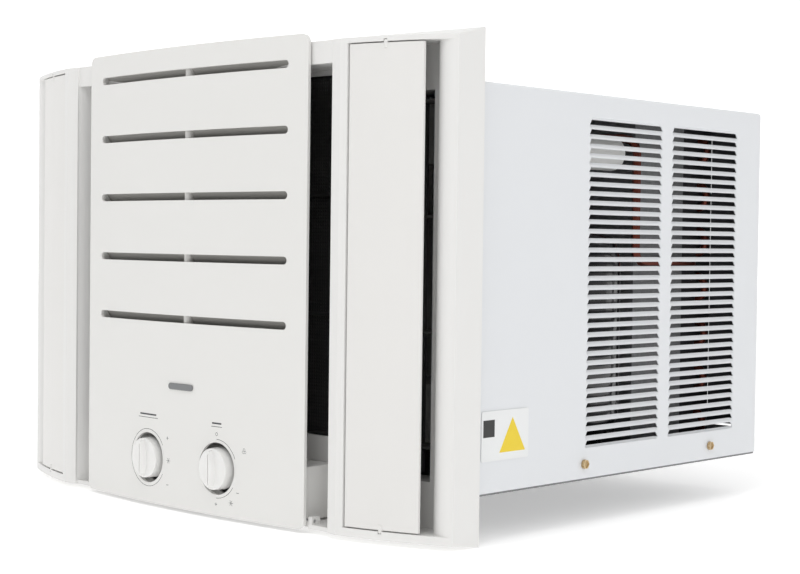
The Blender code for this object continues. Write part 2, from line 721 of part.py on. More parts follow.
# ---------------------------------------------------------------- controls
def build_controls(box_mat, knob_mat, steel, switch_mat):
    bm = bmesh.new()
    box(bm, -BOX_HALF, BOX_HALF, BOX_Y0, BOX_Y1, BOX_Z0, BOX_Z1)
    control_box = finish("control_box", bm, box_mat)
    bm = bmesh.new()
    t = BOX_T
    box(bm, -BOX_HALF + t, BOX_HALF - t, BOX_Y0 + t, 0.01, BOX_Z0 + t, BOX_Z1 - t)
    cut(control_box, "control_box_inside", bm)
    bm = bmesh.new()
    for sign in (-1, 1):
        cylinder(bm, (sign * KNOB_X, BOX_Y0, KNOB_Z), (0, 1, 0), KNOB_HOLE_R + 0.0006, 2 * t + 0.002, 36)
    cut(control_box, "knob_wells", bm)

    face_y = panel_y(KNOB_X)
    knob_y1 = face_y + PANEL_T + 0.0035
    knob_y0 = knob_y1 - KNOB_DEPTH
    for sign, name, maker in ((-1, "temperature", "thermostat"), (1, "mode", "mode_switch")):
        centre = Vector((sign * KNOB_X, 0.0, KNOB_Z))
        # the switch body behind the box's front wall
        bm = bmesh.new()
        back = BOX_Y0 + t + GAP
        half = 0.0140 if sign < 0 else 0.0125
        low = max(KNOB_Z - half, BOX_Z0 + t + GAP)
        high = min(KNOB_Z + half, BOX_Z1 - t - GAP)
        box(bm, centre.x - half, centre.x + half, back + SWITCH_PLATE_T / 2, back + 0.020, low, high)
        body = finish(maker, bm, switch_mat, origin=(centre.x, back, KNOB_Z))
        # its plate fills the well in the box's front wall from behind
        bm = bmesh.new()
        edge = SWITCH_PLATE_HALF
        plate_z0 = BOX_Z0 + t + GAP
        plate_z1 = BOX_Z1 - t - GAP
        box(bm, centre.x - edge, centre.x + edge, back, back + SWITCH_PLATE_T, plate_z0, plate_z1)
        join(body, maker + "_plate", bm)
        bm = bmesh.new()
        hole_end = back + 0.0120
        middle = (centre.x, (back - 0.01 + hole_end) / 2, KNOB_Z)
        cylinder(bm, middle, (0, 1, 0), SHAFT_D / 2 + RUNNING_CLEAR, hole_end - back + 0.01, 12)
        cut(body, maker + "_bore", bm)
        # shaft
        bm = bmesh.new()
        tip = knob_y1 - 0.0070
        root = hole_end - 0.0006
        cylinder(bm, (centre.x, (tip + root) / 2, KNOB_Z), (0, 1, 0), SHAFT_D / 2, root - tip, 12)
        finish(name + "_shaft", bm, steel, origin=(centre.x, tip, KNOB_Z))
        # knob: disc with a raised lens-shaped grip
        bm = bmesh.new()
        disc = knob_y0 + KNOB_RIDGE_H
        cylinder(bm, (centre.x, (knob_y1 + disc) / 2, KNOB_Z), (0, 1, 0), KNOB_D / 2, knob_y1 - disc, 28)
        knob = finish(name + "_knob", bm, knob_mat, origin=(centre.x, knob_y1, KNOB_Z))
        bm = bmesh.new()
        grip = []
        for step in range(13):
            angle = math.pi * step / 12
            grip.append((centre.x + KNOB_RIDGE_HALF * math.sin(angle), KNOB_Z + KNOB_RIDGE_REACH * math.cos(angle)))
        for step in range(11, 0, -1):
            angle = math.pi * step / 12
            grip.append((centre.x - KNOB_RIDGE_HALF * math.sin(angle), KNOB_Z + KNOB_RIDGE_REACH * math.cos(angle)))
        prism(bm, grip, "Y", knob_y0, disc + 0.002)
        join(knob, name + "_grip", bm)
        bm = bmesh.new()
        cylinder(bm, (centre.x, knob_y1, KNOB_Z), (0, 1, 0), SHAFT_D / 2 + GAP, 0.0150, 12)
        cut(knob, name + "_knob_bore", bm)
        bm = bmesh.new()
        box(
            bm,
            centre.x - 0.0008,
            centre.x + 0.0008,
            knob_y0 - 0.001,
            knob_y0 + 0.0008,
            KNOB_Z + 0.002,
            KNOB_Z + 0.0170,
        )
        cut(knob, name + "_pointer", bm)


# ---------------------------------------------------------------- cabinet
LOUVRE_Y1 = CABINET_D - LOUVRE_BACK
LOUVRE_COLUMNS = (
    (LOUVRE_Y1 - 2 * LOUVRE_W - LOUVRE_GAP, LOUVRE_Y1 - LOUVRE_W - LOUVRE_GAP),
    (LOUVRE_Y1 - LOUVRE_W, LOUVRE_Y1),
)
LOUVRE_Z1 = CABINET_H - LOUVRE_TOP
LOUVRE_Z0 = LOUVRE_BOTTOM
SCREW_YS = tuple(CABINET_D - back for back in SCREW_BACKS)
CABINET_Y0 = -0.0035
STEP_Y = 0.00004  # where the pan and the top sheet step in to enter the bezel
STEP_T = 0.0004


def build_cabinet(mat):
    radius = 0.004
    outer = rounded(-HALF_W, HALF_W, -0.05, CABINET_H, radius)
    inner = rounded(-HALF_W + SHEET_T, HALF_W - SHEET_T, -0.04, CABINET_H - SHEET_T, radius - SHEET_T)
    bm = bmesh.new()
    prism(bm, outer, "Y", CABINET_Y0, CABINET_D)
    shell = finish("cabinet_shell", bm, mat)
    bm = bmesh.new()
    prism(bm, inner, "Y", CABINET_Y0 - 0.01, CABINET_D - SHEET_T)
    cut(shell, "cabinet_inside", bm)
    bm = bmesh.new()
    lip = 0.010
    box(
        bm,
        -HALF_W + lip,
        HALF_W - lip,
        CABINET_D - 0.02,
        CABINET_D + 0.01,
        -0.06,
        CABINET_H - lip,
    )
    cut(shell, "cabinet_rear", bm)
    bm = bmesh.new()
    box(bm, -HALF_W - 0.01, HALF_W + 0.01, CABINET_Y0 - 0.01, CABINET_D + 0.01, -0.06, 0.0020)
    cut(shell, "cabinet_foot", bm)
    bm = bmesh.new()
    box(bm, -HALF_W - 0.01, HALF_W + 0.01, CABINET_Y0 - 0.01, STEP_Y, CABINET_H - STEP_T, CABINET_H + 0.01)
    cut(shell, "cabinet_front_step", bm)
    bm = bmesh.new()
    pitch = (LOUVRE_Z1 - LOUVRE_Z0) / (LOUVRE_ROWS - 1)
    for sign in (-1, 1):
        for y0, y1 in LOUVRE_COLUMNS:
            for row in range(LOUVRE_ROWS):
                z1 = LOUVRE_Z1 - pitch * row
                z0 = z1 - LOUVRE_OPEN
                outline = [(y0 - 0.0032, z0), (y1 + 0.0032, z0), (y1, z1), (y0, z1)]
                prism(bm, outline, "X", sign * (HALF_W - 0.004), sign * (HALF_W + 0.004))
    cut(shell, "louvres", bm)
    bm = bmesh.new()
    for sign in (-1, 1):
        for y in SCREW_YS:
            cylinder(bm, (sign * HALF_W, y, SCREW_Z), (1, 0, 0), SCREW_SHANK_R + GAP, 0.01, 12)
    cut(shell, "screw_holes", bm)
    return shell


def build_pan(mat):
    t = 0.0015
    rim = 0.024
    y0 = TUB_Y1 + 0.0010
    y1 = CABINET_D - SHEET_T - FIT_GAP
    bm = bmesh.new()
    box(bm, -PAN_HALF, PAN_HALF, y0, y1, 0.0, rim)
    pan = finish("base_pan", bm, mat)
    bm = bmesh.new()
    box(bm, -PAN_HALF + t, PAN_HALF - t, 0.0, y1 - t, t, rim + 0.01)
    cut(pan, "pan_inside", bm)
    bm = bmesh.new()
    box(bm, -PAN_HALF - 0.01, PAN_HALF + 0.01, y0 - 0.01, 0.0010, t, rim + 0.01)
    cut(pan, "pan_front", bm)
    bm = bmesh.new()
    box(bm, -PAN_HALF - 0.01, PAN_HALF + 0.01, y0 - 0.01, STEP_Y, -0.01, STEP_T)
    cut(pan, "pan_front_step", bm)
    bm = bmesh.new()
    for sign in (-1, 1):
        for y in SCREW_YS:
            cylinder(bm, (sign * PAN_HALF, y, SCREW_Z), (1, 0, 0), SCREW_SHANK_R + GAP, 0.012, 12)
    cut(pan, "pan_screw_holes", bm)
    return pan


def build_screws(mat):
    number = 0
    for sign in (1, -1):
        for y in SCREW_YS:
            number += 1
            face = HALF_W + GAP
            bm = bmesh.new()
            cylinder(bm, (sign * (face + 0.0013), y, SCREW_Z), (1, 0, 0), SCREW_AF / 1.732, 0.0026, 6)
            screw = finish("cabinet_screw_" + str(number), bm, mat, origin=(sign * face, y, SCREW_Z))
            bm = bmesh.new()
            length = 0.0100
            cylinder(
                bm,
                (sign * (face + 0.001 - length / 2), y, SCREW_Z),
                (1, 0, 0),
                SCREW_SHANK_R,
                length,
                10,
            )
            join(screw, "shank_" + str(number), bm)


def build_guard(mat):
    half = HALF_W - SHEET_T - 0.0015
    y1 = CABINET_D - SHEET_T - GAP
    y0 = y1 - 0.002
    z0 = 0.0260
    z1 = CABINET_H - SHEET_T - 0.0015
    bm = bmesh.new()
    box(bm, -half, half, y0, y1, z0, z1)
    guard = finish("rear_guard", bm, mat)
    bm = bmesh.new()
    rows = 9
    margin = 0.016
    cell_end = COND_HALF - 0.004
    pitch = (z1 - z0 - 2 * margin) / rows
    for row in range(rows):
        for sign in (-1, 1):
            low = z0 + margin + pitch * row + 0.0015
            box(bm, sign * 0.0020, sign * cell_end, y0 - 0.01, y1 + 0.01, low, low + pitch - 0.003)
    cut(guard, "guard_cells", bm)


def build_label(mat):
    bm = bmesh.new()
    y0 = LABEL_Y
    y1 = y0 + LABEL_W
    z0 = LABEL_Z
    z1 = z0 + LABEL_H
    box(bm, HALF_W + GAP, HALF_W + GAP + 0.0004, y0, y1, z0, z1)
    finish("side_label", bm, mat, origin=(HALF_W + GAP, (y0 + y1) / 2, (z0 + z1) / 2))


# ---------------------------------------------------------------- air path and fans
LINES_X = PANEL_HALF - 0.008  # where the two refrigerant lines pass through the bulkhead
LIQUID_X = LINES_X - 0.018
GUIDE_HALF = PANEL_HALF + 0.026
GUIDE_Z0 = 0.0045
GUIDE_Z1 = CABINET_H - SHEET_T - 0.003
WHEEL_Y1 = BULKHEAD_Y - BLOWER_BACK
WHEEL_Y0 = WHEEL_Y1 - BLOWER_W


def lines_cutter(y0, y1, radius=0.0065):
    bm = bmesh.new()
    for x in (LINES_X, LIQUID_X):
        cylinder(bm, (x, (y0 + y1) / 2, LINES_Z), (0, 1, 0), radius, y1 - y0, 12)
    return bm


def build_air_guide(mat, foam, steel):
    # orifice plate with side walls that part the intake from the two outlets
    t = 0.0020
    bm = bmesh.new()
    y0 = DUCT_Y1 + 0.002
    box(bm, -GUIDE_HALF, GUIDE_HALF, y0, ORIFICE_Y + t, GUIDE_Z0, GUIDE_Z1)
    guide = finish("air_guide", bm, mat)
    bm = bmesh.new()
    box(bm, -GUIDE_HALF + t, GUIDE_HALF - t, y0 - 0.01, ORIFICE_Y, GUIDE_Z0 - 0.01, GUIDE_Z1 + 0.01)
    cut(guide, "guide_inside", bm)
    bm = bmesh.new()
    cylinder(bm, (0.0, ORIFICE_Y, AXIS_Z), (0, 1, 0), BLOWER_R * 0.86, 0.02, 28)
    cut(guide, "orifice", bm)
    cut(guide, "guide_lines", lines_cutter(ORIFICE_Y - 0.01, ORIFICE_Y + 0.01))

    # foam scroll: floor and roof blocks hollowed round the wheel, on a rear wall
    half = HALF_W - SHEET_T - 0.003
    y0 = ORIFICE_Y + t + GAP
    y1 = BULKHEAD_Y - GAP
    back = WHEEL_Y1 + 0.0041
    bm = bmesh.new()
    box(bm, -half, half, back, y1, 0.0260, GUIDE_Z1)
    scroll = finish("blower_scroll", bm, foam)
    bm = bmesh.new()
    roof = GUIDE_Z1 - SCROLL_BLOCK_H
    floor = 0.0260 + SCROLL_BLOCK_H - 0.004
    box(bm, -GUIDE_HALF + 0.004, GUIDE_HALF - 0.004, y0, back + 0.002, roof, GUIDE_Z1 - 0.0001)
    box(bm, -GUIDE_HALF + 0.004, GUIDE_HALF - 0.004, y0, back + 0.002, 0.0261, floor)
    join(scroll, "scroll_blocks", bm)
    bm = bmesh.new()
    cylinder(bm, (0.0, (y0 - 0.01 + back) / 2, AXIS_Z), (0, 1, 0), BLOWER_R + 0.016, back - y0 + 0.01, 28)
    cut(scroll, "wheel_room", bm)
    bm = lines_cutter(y0 - 0.01, y1 + 0.01)
    cylinder(bm, (0.0, back, AXIS_Z), (0, 1, 0), SHAFT_R + 0.006, 0.06, 14)
    cut(scroll, "scroll_holes", bm)

    # bulkhead
    bm = bmesh.new()
    box(bm, -half, half, BULKHEAD_Y, BULKHEAD_Y + 0.0012, 0.0260, GUIDE_Z1)
    bulkhead = finish("bulkhead", bm, steel)
    bm = lines_cutter(BULKHEAD_Y - 0.01, BULKHEAD_Y + 0.01)
    cylinder(bm, (0.0, BULKHEAD_Y, AXIS_Z), (0, 1, 0), SHAFT_R + 0.003, 0.02, 14)
    cut(bulkhead, "bulkhead_holes", bm)


def build_blower(mat):
    count = 18
    bm = bmesh.new()
    cylinder(bm, (0.0, WHEEL_Y1 - 0.001, AXIS_Z), (0, 1, 0), BLOWER_R, 0.002, 36)
    origin = (0.0, (WHEEL_Y0 + WHEEL_Y1) / 2, AXIS_Z)
    wheel = finish("blower_wheel", bm, mat, origin=origin)
    bm = bmesh.new()
    inner = BLOWER_R * 0.84
    chord = BLOWER_R - 0.0015 - inner
    for index in range(count):
        angle = 2 * math.pi * index / count
        low = Vector((math.cos(angle), math.sin(angle)))
        cross = Vector((-low.y, low.x))
        outline = []
        for along, across in ((0.0, -0.0007), (1.0, 0.0053), (1.0, 0.0067), (0.0, 0.0007)):
            point = low * (inner + chord * along) + cross * across
            outline.append((point.x, point.y + AXIS_Z))
        prism(bm, outline, "Y", WHEEL_Y0 + 0.0008, WHEEL_Y1 - 0.0008)
    join(wheel, "wheel_blades", bm)
    bm = bmesh.new()
    prism(bm, ring(0.0, AXIS_Z, BLOWER_R, 36), "Y", WHEEL_Y0, WHEEL_Y0 + 0.003)
    rim = tool("add_wheel_rim", bm)
    bm = bmesh.new()
    prism(bm, ring(0.0, AXIS_Z, inner + 0.0008, 36), "Y", WHEEL_Y0 - 0.01, WHEEL_Y0 + 0.01)
    boolean(rim, tool("cut_wheel_rim", bm), "DIFFERENCE")
    boolean(wheel, rim, "UNION")
    bm = bmesh.new()
    cylinder(bm, (0.0, WHEEL_Y1 - 0.012, AXIS_Z), (0, 1, 0), 0.012, 0.024, 16)
    join(wheel, "wheel_hub", bm)
    bm = bmesh.new()
    cylinder(bm, (0.0, WHEEL_Y1, AXIS_Z), (0, 1, 0), SHAFT_R + GAP, 0.10, 14)
    cut(wheel, "wheel_bore", bm)


def build_condenser_fan(mat):
    origin = (0.0, (FAN_Y0 + FAN_Y1) / 2, AXIS_Z)
    bm = bmesh.new()
    middle = (FAN_Y0 + FAN_Y1) / 2
    cylinder(bm, (0.0, middle, AXIS_Z), (0, 1, 0), 0.022, FAN_Y1 - FAN_Y0, 20)
    fan = finish("condenser_fan", bm, mat, origin=origin)
    bm = bmesh.new()
    blades = 5
    rings = 4
    spread = math.radians(46)
    for index in range(blades):
        start = 2 * math.pi * index / blades
        fronts = []
        backs = []
        for step in range(rings):
            share = step / (rings - 1)
            radius = 0.0180 + (FAN_R - 0.0015 - 0.0180) * share
            reach = (FAN_Y1 - FAN_Y0) * (0.66 - 0.16 * share)
            front = []
            back = []
            for turn in (-0.5, -0.25, 0.0, 0.25, 0.5):
                angle = start + spread * turn + 0.25 * share
                x = radius * math.cos(angle)
                z = AXIS_Z + radius * math.sin(angle)
                y = middle + reach * turn
                front.append(bm.verts.new((x, y - 0.0008, z)))
                back.append(bm.verts.new((x, y + 0.0008, z)))
            fronts.append(front)
            backs.append(back)
        for low in range(rings - 1):
            for place in range(4):
                bm.faces.new(
                    (fronts[low][place], fronts[low][place + 1], fronts[low + 1][place + 1], fronts[low + 1][place])
                )
                bm.faces.new(
                    (backs[low][place], backs[low + 1][place], backs[low + 1][place + 1], backs[low][place + 1])
                )
            for place in (0, 4):
                bm.faces.new(
                    (fronts[low][place], fronts[low + 1][place], backs[low + 1][place], backs[low][place])
                )
        for end in (0, rings - 1):
            for place in range(4):
                bm.faces.new(
                    (fronts[end][place], fronts[end][place + 1], backs[end][place + 1], backs[end][place])
                )
    bmesh.ops.triangulate(bm, faces=bm.faces)
    join(fan, "fan_blades", bm)
    bm = bmesh.new()
    prism(bm, ring(0.0, AXIS_Z, FAN_R, 40), "Y", middle - 0.006, middle + 0.006)
    rim = tool("add_sling_ring", bm)
    bm = bmesh.new()
    prism(bm, ring(0.0, AXIS_Z, FAN_R - 0.0030, 40), "Y", middle - 0.02, middle + 0.02)
    boolean(rim, tool("cut_sling_ring", bm), "DIFFERENCE")
    boolean(fan, rim, "UNION")
    bm = bmesh.new()
    cylinder(bm, (0.0, middle, AXIS_Z), (0, 1, 0), SHAFT_R + GAP, 0.10, 14)
    cut(fan, "fan_bore", bm)


def build_motor(mat, bracket_mat, steel):
    bm = bmesh.new()
    middle = (MOTOR_Y0 + MOTOR_Y1) / 2
    cylinder(bm, (0.0, middle, AXIS_Z), (0, 1, 0), MOTOR_R, (MOTOR_Y1 - MOTOR_Y0) * 0.80, 28)
    motor = finish("fan_motor", bm, mat, origin=(0.0, middle, AXIS_Z))
    bm = bmesh.new()
    cylinder(bm, (0.0, middle, AXIS_Z), (0, 1, 0), MOTOR_R * 0.42, MOTOR_Y1 - MOTOR_Y0, 20)
    join(motor, "motor_boss", bm)
    bm = bmesh.new()
    cylinder(bm, (0.0, middle, AXIS_Z), (0, 1, 0), SHAFT_R + RUNNING_CLEAR, 0.20, 14)
    cut(motor, "motor_bore", bm)

    bm = bmesh.new()
    half = MOTOR_R * 1.10
    z0 = 0.0015 + GAP
    box(bm, -half, half, middle - 0.016, middle + 0.016, z0, AXIS_Z - MOTOR_R * 0.30)
    bracket = finish("motor_bracket", bm, bracket_mat)
    bm = bmesh.new()
    cylinder(bm, (0.0, middle, AXIS_Z), (0, 1, 0), MOTOR_R + GAP, 0.08, 36)
    cut(bracket, "bracket_saddle", bm)
    bm = bmesh.new()
    box(
        bm,
        -half + 0.004,
        half - 0.004,
        middle - 0.03,
        middle + 0.03,
        z0 + 0.003,
        AXIS_Z - MOTOR_R * 1.16,
    )
    cut(bracket, "bracket_hollow", bm)

    bm = bmesh.new()
    y0 = WHEEL_Y0 + 0.008
    y1 = FAN_Y1 + 0.004
    cylinder(bm, (0.0, (y0 + y1) / 2, AXIS_Z), (0, 1, 0), SHAFT_R, y1 - y0, 14)
    finish("fan_shaft", bm, steel, origin=(0.0, (y0 + y1) / 2, AXIS_Z))


def build_shroud(mat):
    t = 0.0015
    half = COND_HALF + 0.010
    z0 = 0.0020 + GAP
    z1 = GUIDE_Z1
    bm = bmesh.new()
    box(bm, -half, half, SHROUD_Y, COND_Y0 - GAP - 0.001, z0, z1)
    shroud = finish("fan_shroud", bm, mat)
    bm = bmesh.new()
    box(bm, -half + t, half - t, SHROUD_Y + t, COND_Y0 + 0.02, z0 + t, z1 - t)
    cut(shroud, "shroud_inside", bm)
    bm = bmesh.new()
    cylinder(bm, (0.0, SHROUD_Y, AXIS_Z), (0, 1, 0), FAN_R + 0.005, 0.02, 40)
    cut(shroud, "shroud_orifice", bm)


# ---------------------------------------------------------------- refrigerant loop
TURN_Z = LINES_Z - 0.0340  # where the rising lines turn over
DROP_Z = LINES_Z - 0.1110  # where the discharge line enters the condenser


def build_coil(name, half, y0, y1, z0, z1, bends, bend_y, mat, origin):
    """A finned block with its return bends at both ends."""
    bm = bmesh.new()
    box(bm, -half, half, y0, y1, z0, z1)
    coil = finish(name, bm, mat, origin=origin)
    bm = bmesh.new()
    pitch = (z1 - z0) / bends
    radius = 0.0042
    reach = min(pitch * 0.26, 0.011)
    sides = 6
    for sign in (-1, 1):
        for index in range(bends):
            centre_z = z0 + pitch * (index + 0.5)
            rings = []
            for step in range(7):
                angle = -math.pi / 2 + math.pi * step / 6
                hub = Vector((sign * (half + reach * math.cos(angle)), bend_y, centre_z + reach * math.sin(angle)))
                out = Vector((sign * math.cos(angle), 0.0, math.sin(angle)))
                if step in (0, 6):
                    out = Vector((0.0, 0.0, math.copysign(1.0, angle)))
                loop = []
                for side in range(sides):
                    around = 2 * math.pi * side / sides
                    offset = out * (radius * math.cos(around)) + Vector((0, 1, 0)) * (radius * math.sin(around))
                    loop.append(hub + offset)
                rings.append(loop)
            for end in (0, 6):
                inward = [point - Vector((sign * 0.004, 0.0, 0.0)) for point in rings[end]]
                if end == 0:
                    rings_before = inward
                else:
                    rings_after = inward
            full = [rings_before] + rings + [rings_after]
            made = [[bm.verts.new(point) for point in loop] for loop in full]
            for first, second in zip(made, made[1:]):
                for side in range(sides):
                    nxt = (side + 1) % sides
                    bm.faces.new((first[side], first[nxt], second[nxt], second[side]))
            bm.faces.new(made[0])
            bm.faces.new(made[-1])
    join(coil, name + "_bends", bm)
    return coil


def build_compressor(mat, rubber):
    profile = (
        (0.00, COMP_H),
        (0.36, COMP_H),
        (0.72, COMP_H - 0.005),
        (0.94, COMP_H - 0.016),
        (1.00, COMP_H - 0.034),
        (1.00, 0.030),
        (0.90, 0.012),
        (0.62, 0.000),
        (0.00, 0.000),
    )
    bm = bmesh.new()
    points = [bm.verts.new((COMP_X + COMP_R * share, COMP_Y, COMP_Z0 + height)) for share, height in profile]
    for first, second in zip(points, points[1:]):
        bm.edges.new((first, second))
    compressor = finish("compressor", bm, mat, origin=(COMP_X, COMP_Y, COMP_Z0))
    screw = compressor.modifiers.new("turn", "SCREW")
    screw.axis = "Z"
    screw.steps = 24
    screw.render_steps = 24
    screw.use_merge_vertices = True
    screw.merge_threshold = 0.00001
    bm = bmesh.new()
    foot = ring(COMP_X, COMP_Y, COMP_R * 1.22, 3, math.radians(-90))
    trimmed = []
    for index, (x, y) in enumerate(foot):
        for other in (foot[index - 1], foot[(index + 1) % 3]):
            trimmed.append((x + (other[0] - x) * 0.13, y + (other[1] - y) * 0.13))
    prism(bm, trimmed, "Z", COMP_Z0 + 0.0002, COMP_Z0 + 0.0032)
    join(compressor, "compressor_foot", bm)
    for index, (x, y) in enumerate(ring(COMP_X, COMP_Y, COMP_R * 1.00, 3, math.radians(-90)), start=1):
        bm = bmesh.new()
        base = COMP_Z0 - GAP + 0.0001 - GROMMET_H
        cylinder(bm, (x, y, base + GROMMET_H / 2), (0, 0, 1), 0.009, GROMMET_H, 14)
        finish("compressor_grommet_" + str(index), bm, rubber, origin=(x, y, base))


def build_refrigerant_parts(copper, black, capacitor_mat):
    acc_x = COMP_X - COMP_R - ACCUMULATOR_R - 0.0050
    acc_y = COMP_Y - 0.010
    acc_r = ACCUMULATOR_R
    acc_z0 = ACCUMULATOR_Z
    acc_z1 = acc_z0 + ACCUMULATOR_L
    bm = bmesh.new()
    cylinder(bm, (acc_x, acc_y, (acc_z0 + acc_z1) / 2), (0, 0, 1), acc_r, acc_z1 - acc_z0 - 0.012, 18)
    accumulator = finish("accumulator", bm, black, origin=(acc_x, acc_y, acc_z0))
    bm = bmesh.new()
    cylinder(bm, (acc_x, acc_y, (acc_z0 + acc_z1) / 2), (0, 0, 1), acc_r * 0.6, acc_z1 - acc_z0, 14)
    join(accumulator, "accumulator_domes", bm)

    # suction line: evaporator's end, straight back through the bulkhead, down to the accumulator
    tube(
        "suction_tube",
        [
            (LINES_X, EVAP_Y1 + 0.0010, LINES_Z),
            (LINES_X, acc_y, LINES_Z),
            (acc_x, acc_y, LINES_Z),
            (acc_x, acc_y, acc_z1 + 0.0010),
        ],
        SUCTION_R,
        copper,
        bend=0.014,
    )
    # short elbow from the accumulator's foot into the compressor's side
    tube(
        "accumulator_elbow",
        [
            (acc_x, acc_y, acc_z0 - 0.0010),
            (acc_x, acc_y, acc_z0 - 0.0220),
            (COMP_X - COMP_R - 0.0007, acc_y, acc_z0 - 0.0220),
        ],
        DISCHARGE_R,
        copper,
        bend=0.008,
    )
    # discharge line: compressor's crown, over, down beside the shroud and into the condenser's end
    side_x = COND_HALF + 0.0185
    drop_y = SHROUD_Y - 0.0090
    tube(
        "discharge_tube",
        [
            (COMP_X, COMP_Y, COMP_Z1 + 0.0010),
            (COMP_X, COMP_Y, TURN_Z),
            (COMP_X, COMP_Y + 0.5 * COMP_R, LINES_Z),
            (side_x, drop_y, LINES_Z),
            (side_x, drop_y, DROP_Z),
            (side_x, COND_Y0 + 0.008, DROP_Z),
            (COND_HALF + 0.0010, COND_Y0 + 0.008, DROP_Z),
        ],
        DISCHARGE_R,
        copper,
        bend=0.014,
    )
    # drier behind the shroud's left side, fed by the condenser's outlet
    drier_x = -COND_HALF - 0.0108 - DRIER_R
    drier_y = SHROUD_Y + 0.0090
    drier_z0 = OUTLET_RUN_Z + OUTLET_RISE
    drier_z1 = drier_z0 + DRIER_L
    bm = bmesh.new()
    cylinder(bm, (drier_x, drier_y, (drier_z0 + drier_z1) / 2), (0, 0, 1), 0.0050, drier_z1 - drier_z0, 14)
    drier = finish("filter_drier", bm, copper, origin=(drier_x, drier_y, drier_z0))
    bm = bmesh.new()
    cylinder(
        bm, (drier_x, drier_y, (drier_z0 + drier_z1) / 2), (0, 0, 1), DRIER_R, DRIER_L * 0.72, 16
    )
    join(drier, "drier_body", bm)
    tube(
        "condenser_outlet_tube",
        [
            (-COND_HALF - 0.0010, COND_Y0 + 0.008, OUTLET_RUN_Z),
            (drier_x, COND_Y0 + 0.008, OUTLET_RUN_Z),
            (drier_x, drier_y, OUTLET_RUN_Z),
            (drier_x, drier_y, drier_z0 - 0.0010),
        ],
        OUTLET_TUBE_R,
        copper,
        bend=0.009,
    )
    tube(
        "capillary_tube",
        [
            (drier_x, drier_y, drier_z1 + 0.0010),
            (drier_x, drier_y, TURN_Z),
            (drier_x, BULKHEAD_Y + 0.0245, TURN_Z),
            (drier_x + 0.060, BULKHEAD_Y + 0.0245, LINES_Z),
            (LIQUID_X, BULKHEAD_Y + 0.0245, LINES_Z),
            (LIQUID_X, EVAP_Y1 + 0.0010, LINES_Z),
        ],
        CAPILLARY_R,
        copper,
        bend=0.012,
    )

    # run capacitor, strapped high on the bulkhead's right side
    bm = bmesh.new()
    y0 = BULKHEAD_Y + 0.0012 + GAP
    y1 = y0 + CAPACITOR_L
    cap_x = HALF_W - CAPACITOR_R - 0.0190
    cap_z = CABINET_H - CAPACITOR_R - 0.0310
    cylinder(bm, (cap_x, (y0 + y1) / 2, cap_z), (0, 1, 0), CAPACITOR_R, CAPACITOR_L, 20)
    finish("run_capacitor", bm, capacitor_mat, origin=(cap_x, y0, cap_z))


# ---------------------------------------------------------------- the whole unit
PLASTIC = material("warm_white_plastic", (0.80, 0.79, 0.77), 0.0, 0.42)
PANEL_PLASTIC = material("panel_plastic", (0.81, 0.80, 0.78), 0.0, 0.38)
KNOB_PLASTIC = material("knob_plastic", (0.84, 0.83, 0.81), 0.0, 0.25)
VANE_PLASTIC = material("vane_plastic", (0.79, 0.78, 0.76), 0.0, 0.42)
BADGE = material("badge_grey", (0.42, 0.44, 0.46), 0.0, 0.40)
FILTER_BLACK = material("filter_black", (0.02, 0.02, 0.02), 0.0, 0.70)
SWITCH_BLACK = material("switch_black", (0.04, 0.04, 0.045), 0.0, 0.50)
SHEET_WHITE = material("cabinet_white_paint", (0.79, 0.80, 0.82), 0.0, 0.38)
GALVANISED = material("galvanised_sheet", (0.56, 0.57, 0.58), 0.9, 0.42)
STEEL = material("turned_steel", (0.62, 0.62, 0.63), 1.0, 0.30)
ZINC = material("yellow_zinc", (0.62, 0.47, 0.25), 1.0, 0.38)
LABEL = material("label_white", (0.88, 0.88, 0.86), 0.0, 0.45)
FOAM = material("foam_white", (0.86, 0.86, 0.84), 0.0, 0.90)
GUIDE_GREY = material("guide_grey", (0.30, 0.30, 0.31), 0.0, 0.60)
FAN_BLACK = material("fan_black", (0.03, 0.03, 0.032), 0.0, 0.45)
MOTOR_STEEL = material("motor_steel", (0.36, 0.37, 0.39), 0.8, 0.40)
COIL = material("coil_aluminium", (0.66, 0.66, 0.67), 1.0, 0.45)
COPPER = material("copper", (0.72, 0.36, 0.24), 1.0, 0.35)
COMPRESSOR_BLACK = material("compressor_black", (0.02, 0.02, 0.022), 0.1, 0.22)
RUBBER = material("grommet_rubber", (0.03, 0.03, 0.03), 0.0, 0.80)
GUARD_GREY = material("guard_grey", (0.60, 0.61, 0.63), 0.1, 0.45)
CAPACITOR_WHITE = material("capacitor_white", (0.82, 0.82, 0.80), 0.0, 0.35)

build_bezel(PLASTIC)
build_panel(PANEL_PLASTIC)
build_pins(STEEL)
build_badge(BADGE)
build_filter(FILTER_BLACK, FILTER_BLACK)
for SIGN, SIDE in ((-1, "left"), (1, "right")):
    build_vane(SIDE, SIGN, VANE_PLASTIC)
    build_blades(SIDE, SIGN, VANE_PLASTIC, GUIDE_GREY)
build_controls(PLASTIC, KNOB_PLASTIC, STEEL, SWITCH_BLACK)
build_cabinet(SHEET_WHITE)
build_pan(GALVANISED)
build_screws(ZINC)
build_guard(GUARD_GREY)
build_label(LABEL)
build_air_guide(GUIDE_GREY, FOAM, GALVANISED)
build_blower(FAN_BLACK)
build_condenser_fan(FAN_BLACK)
build_motor(MOTOR_STEEL, GALVANISED, STEEL)
build_shroud(GALVANISED)
build_coil(
    "evaporator_coil",
    PANEL_HALF - 0.004,
    EVAP_Y0,
    EVAP_Y1,
    0.030,
    CABINET_H - 0.0420,
    6,
    (EVAP_Y0 + EVAP_Y1) / 2,
    COIL,
    (0.0, EVAP_Y0, 0.030),
)
build_coil(
    "condenser_coil",
    COND_HALF,
    COND_Y0,
    COND_Y1,
    0.0065,
    CABINET_H - 0.0145,
    7,
    COND_Y0 + 0.62 * (COND_Y1 - COND_Y0),
    COIL,
    (0.0, COND_Y0, 0.0065),
)
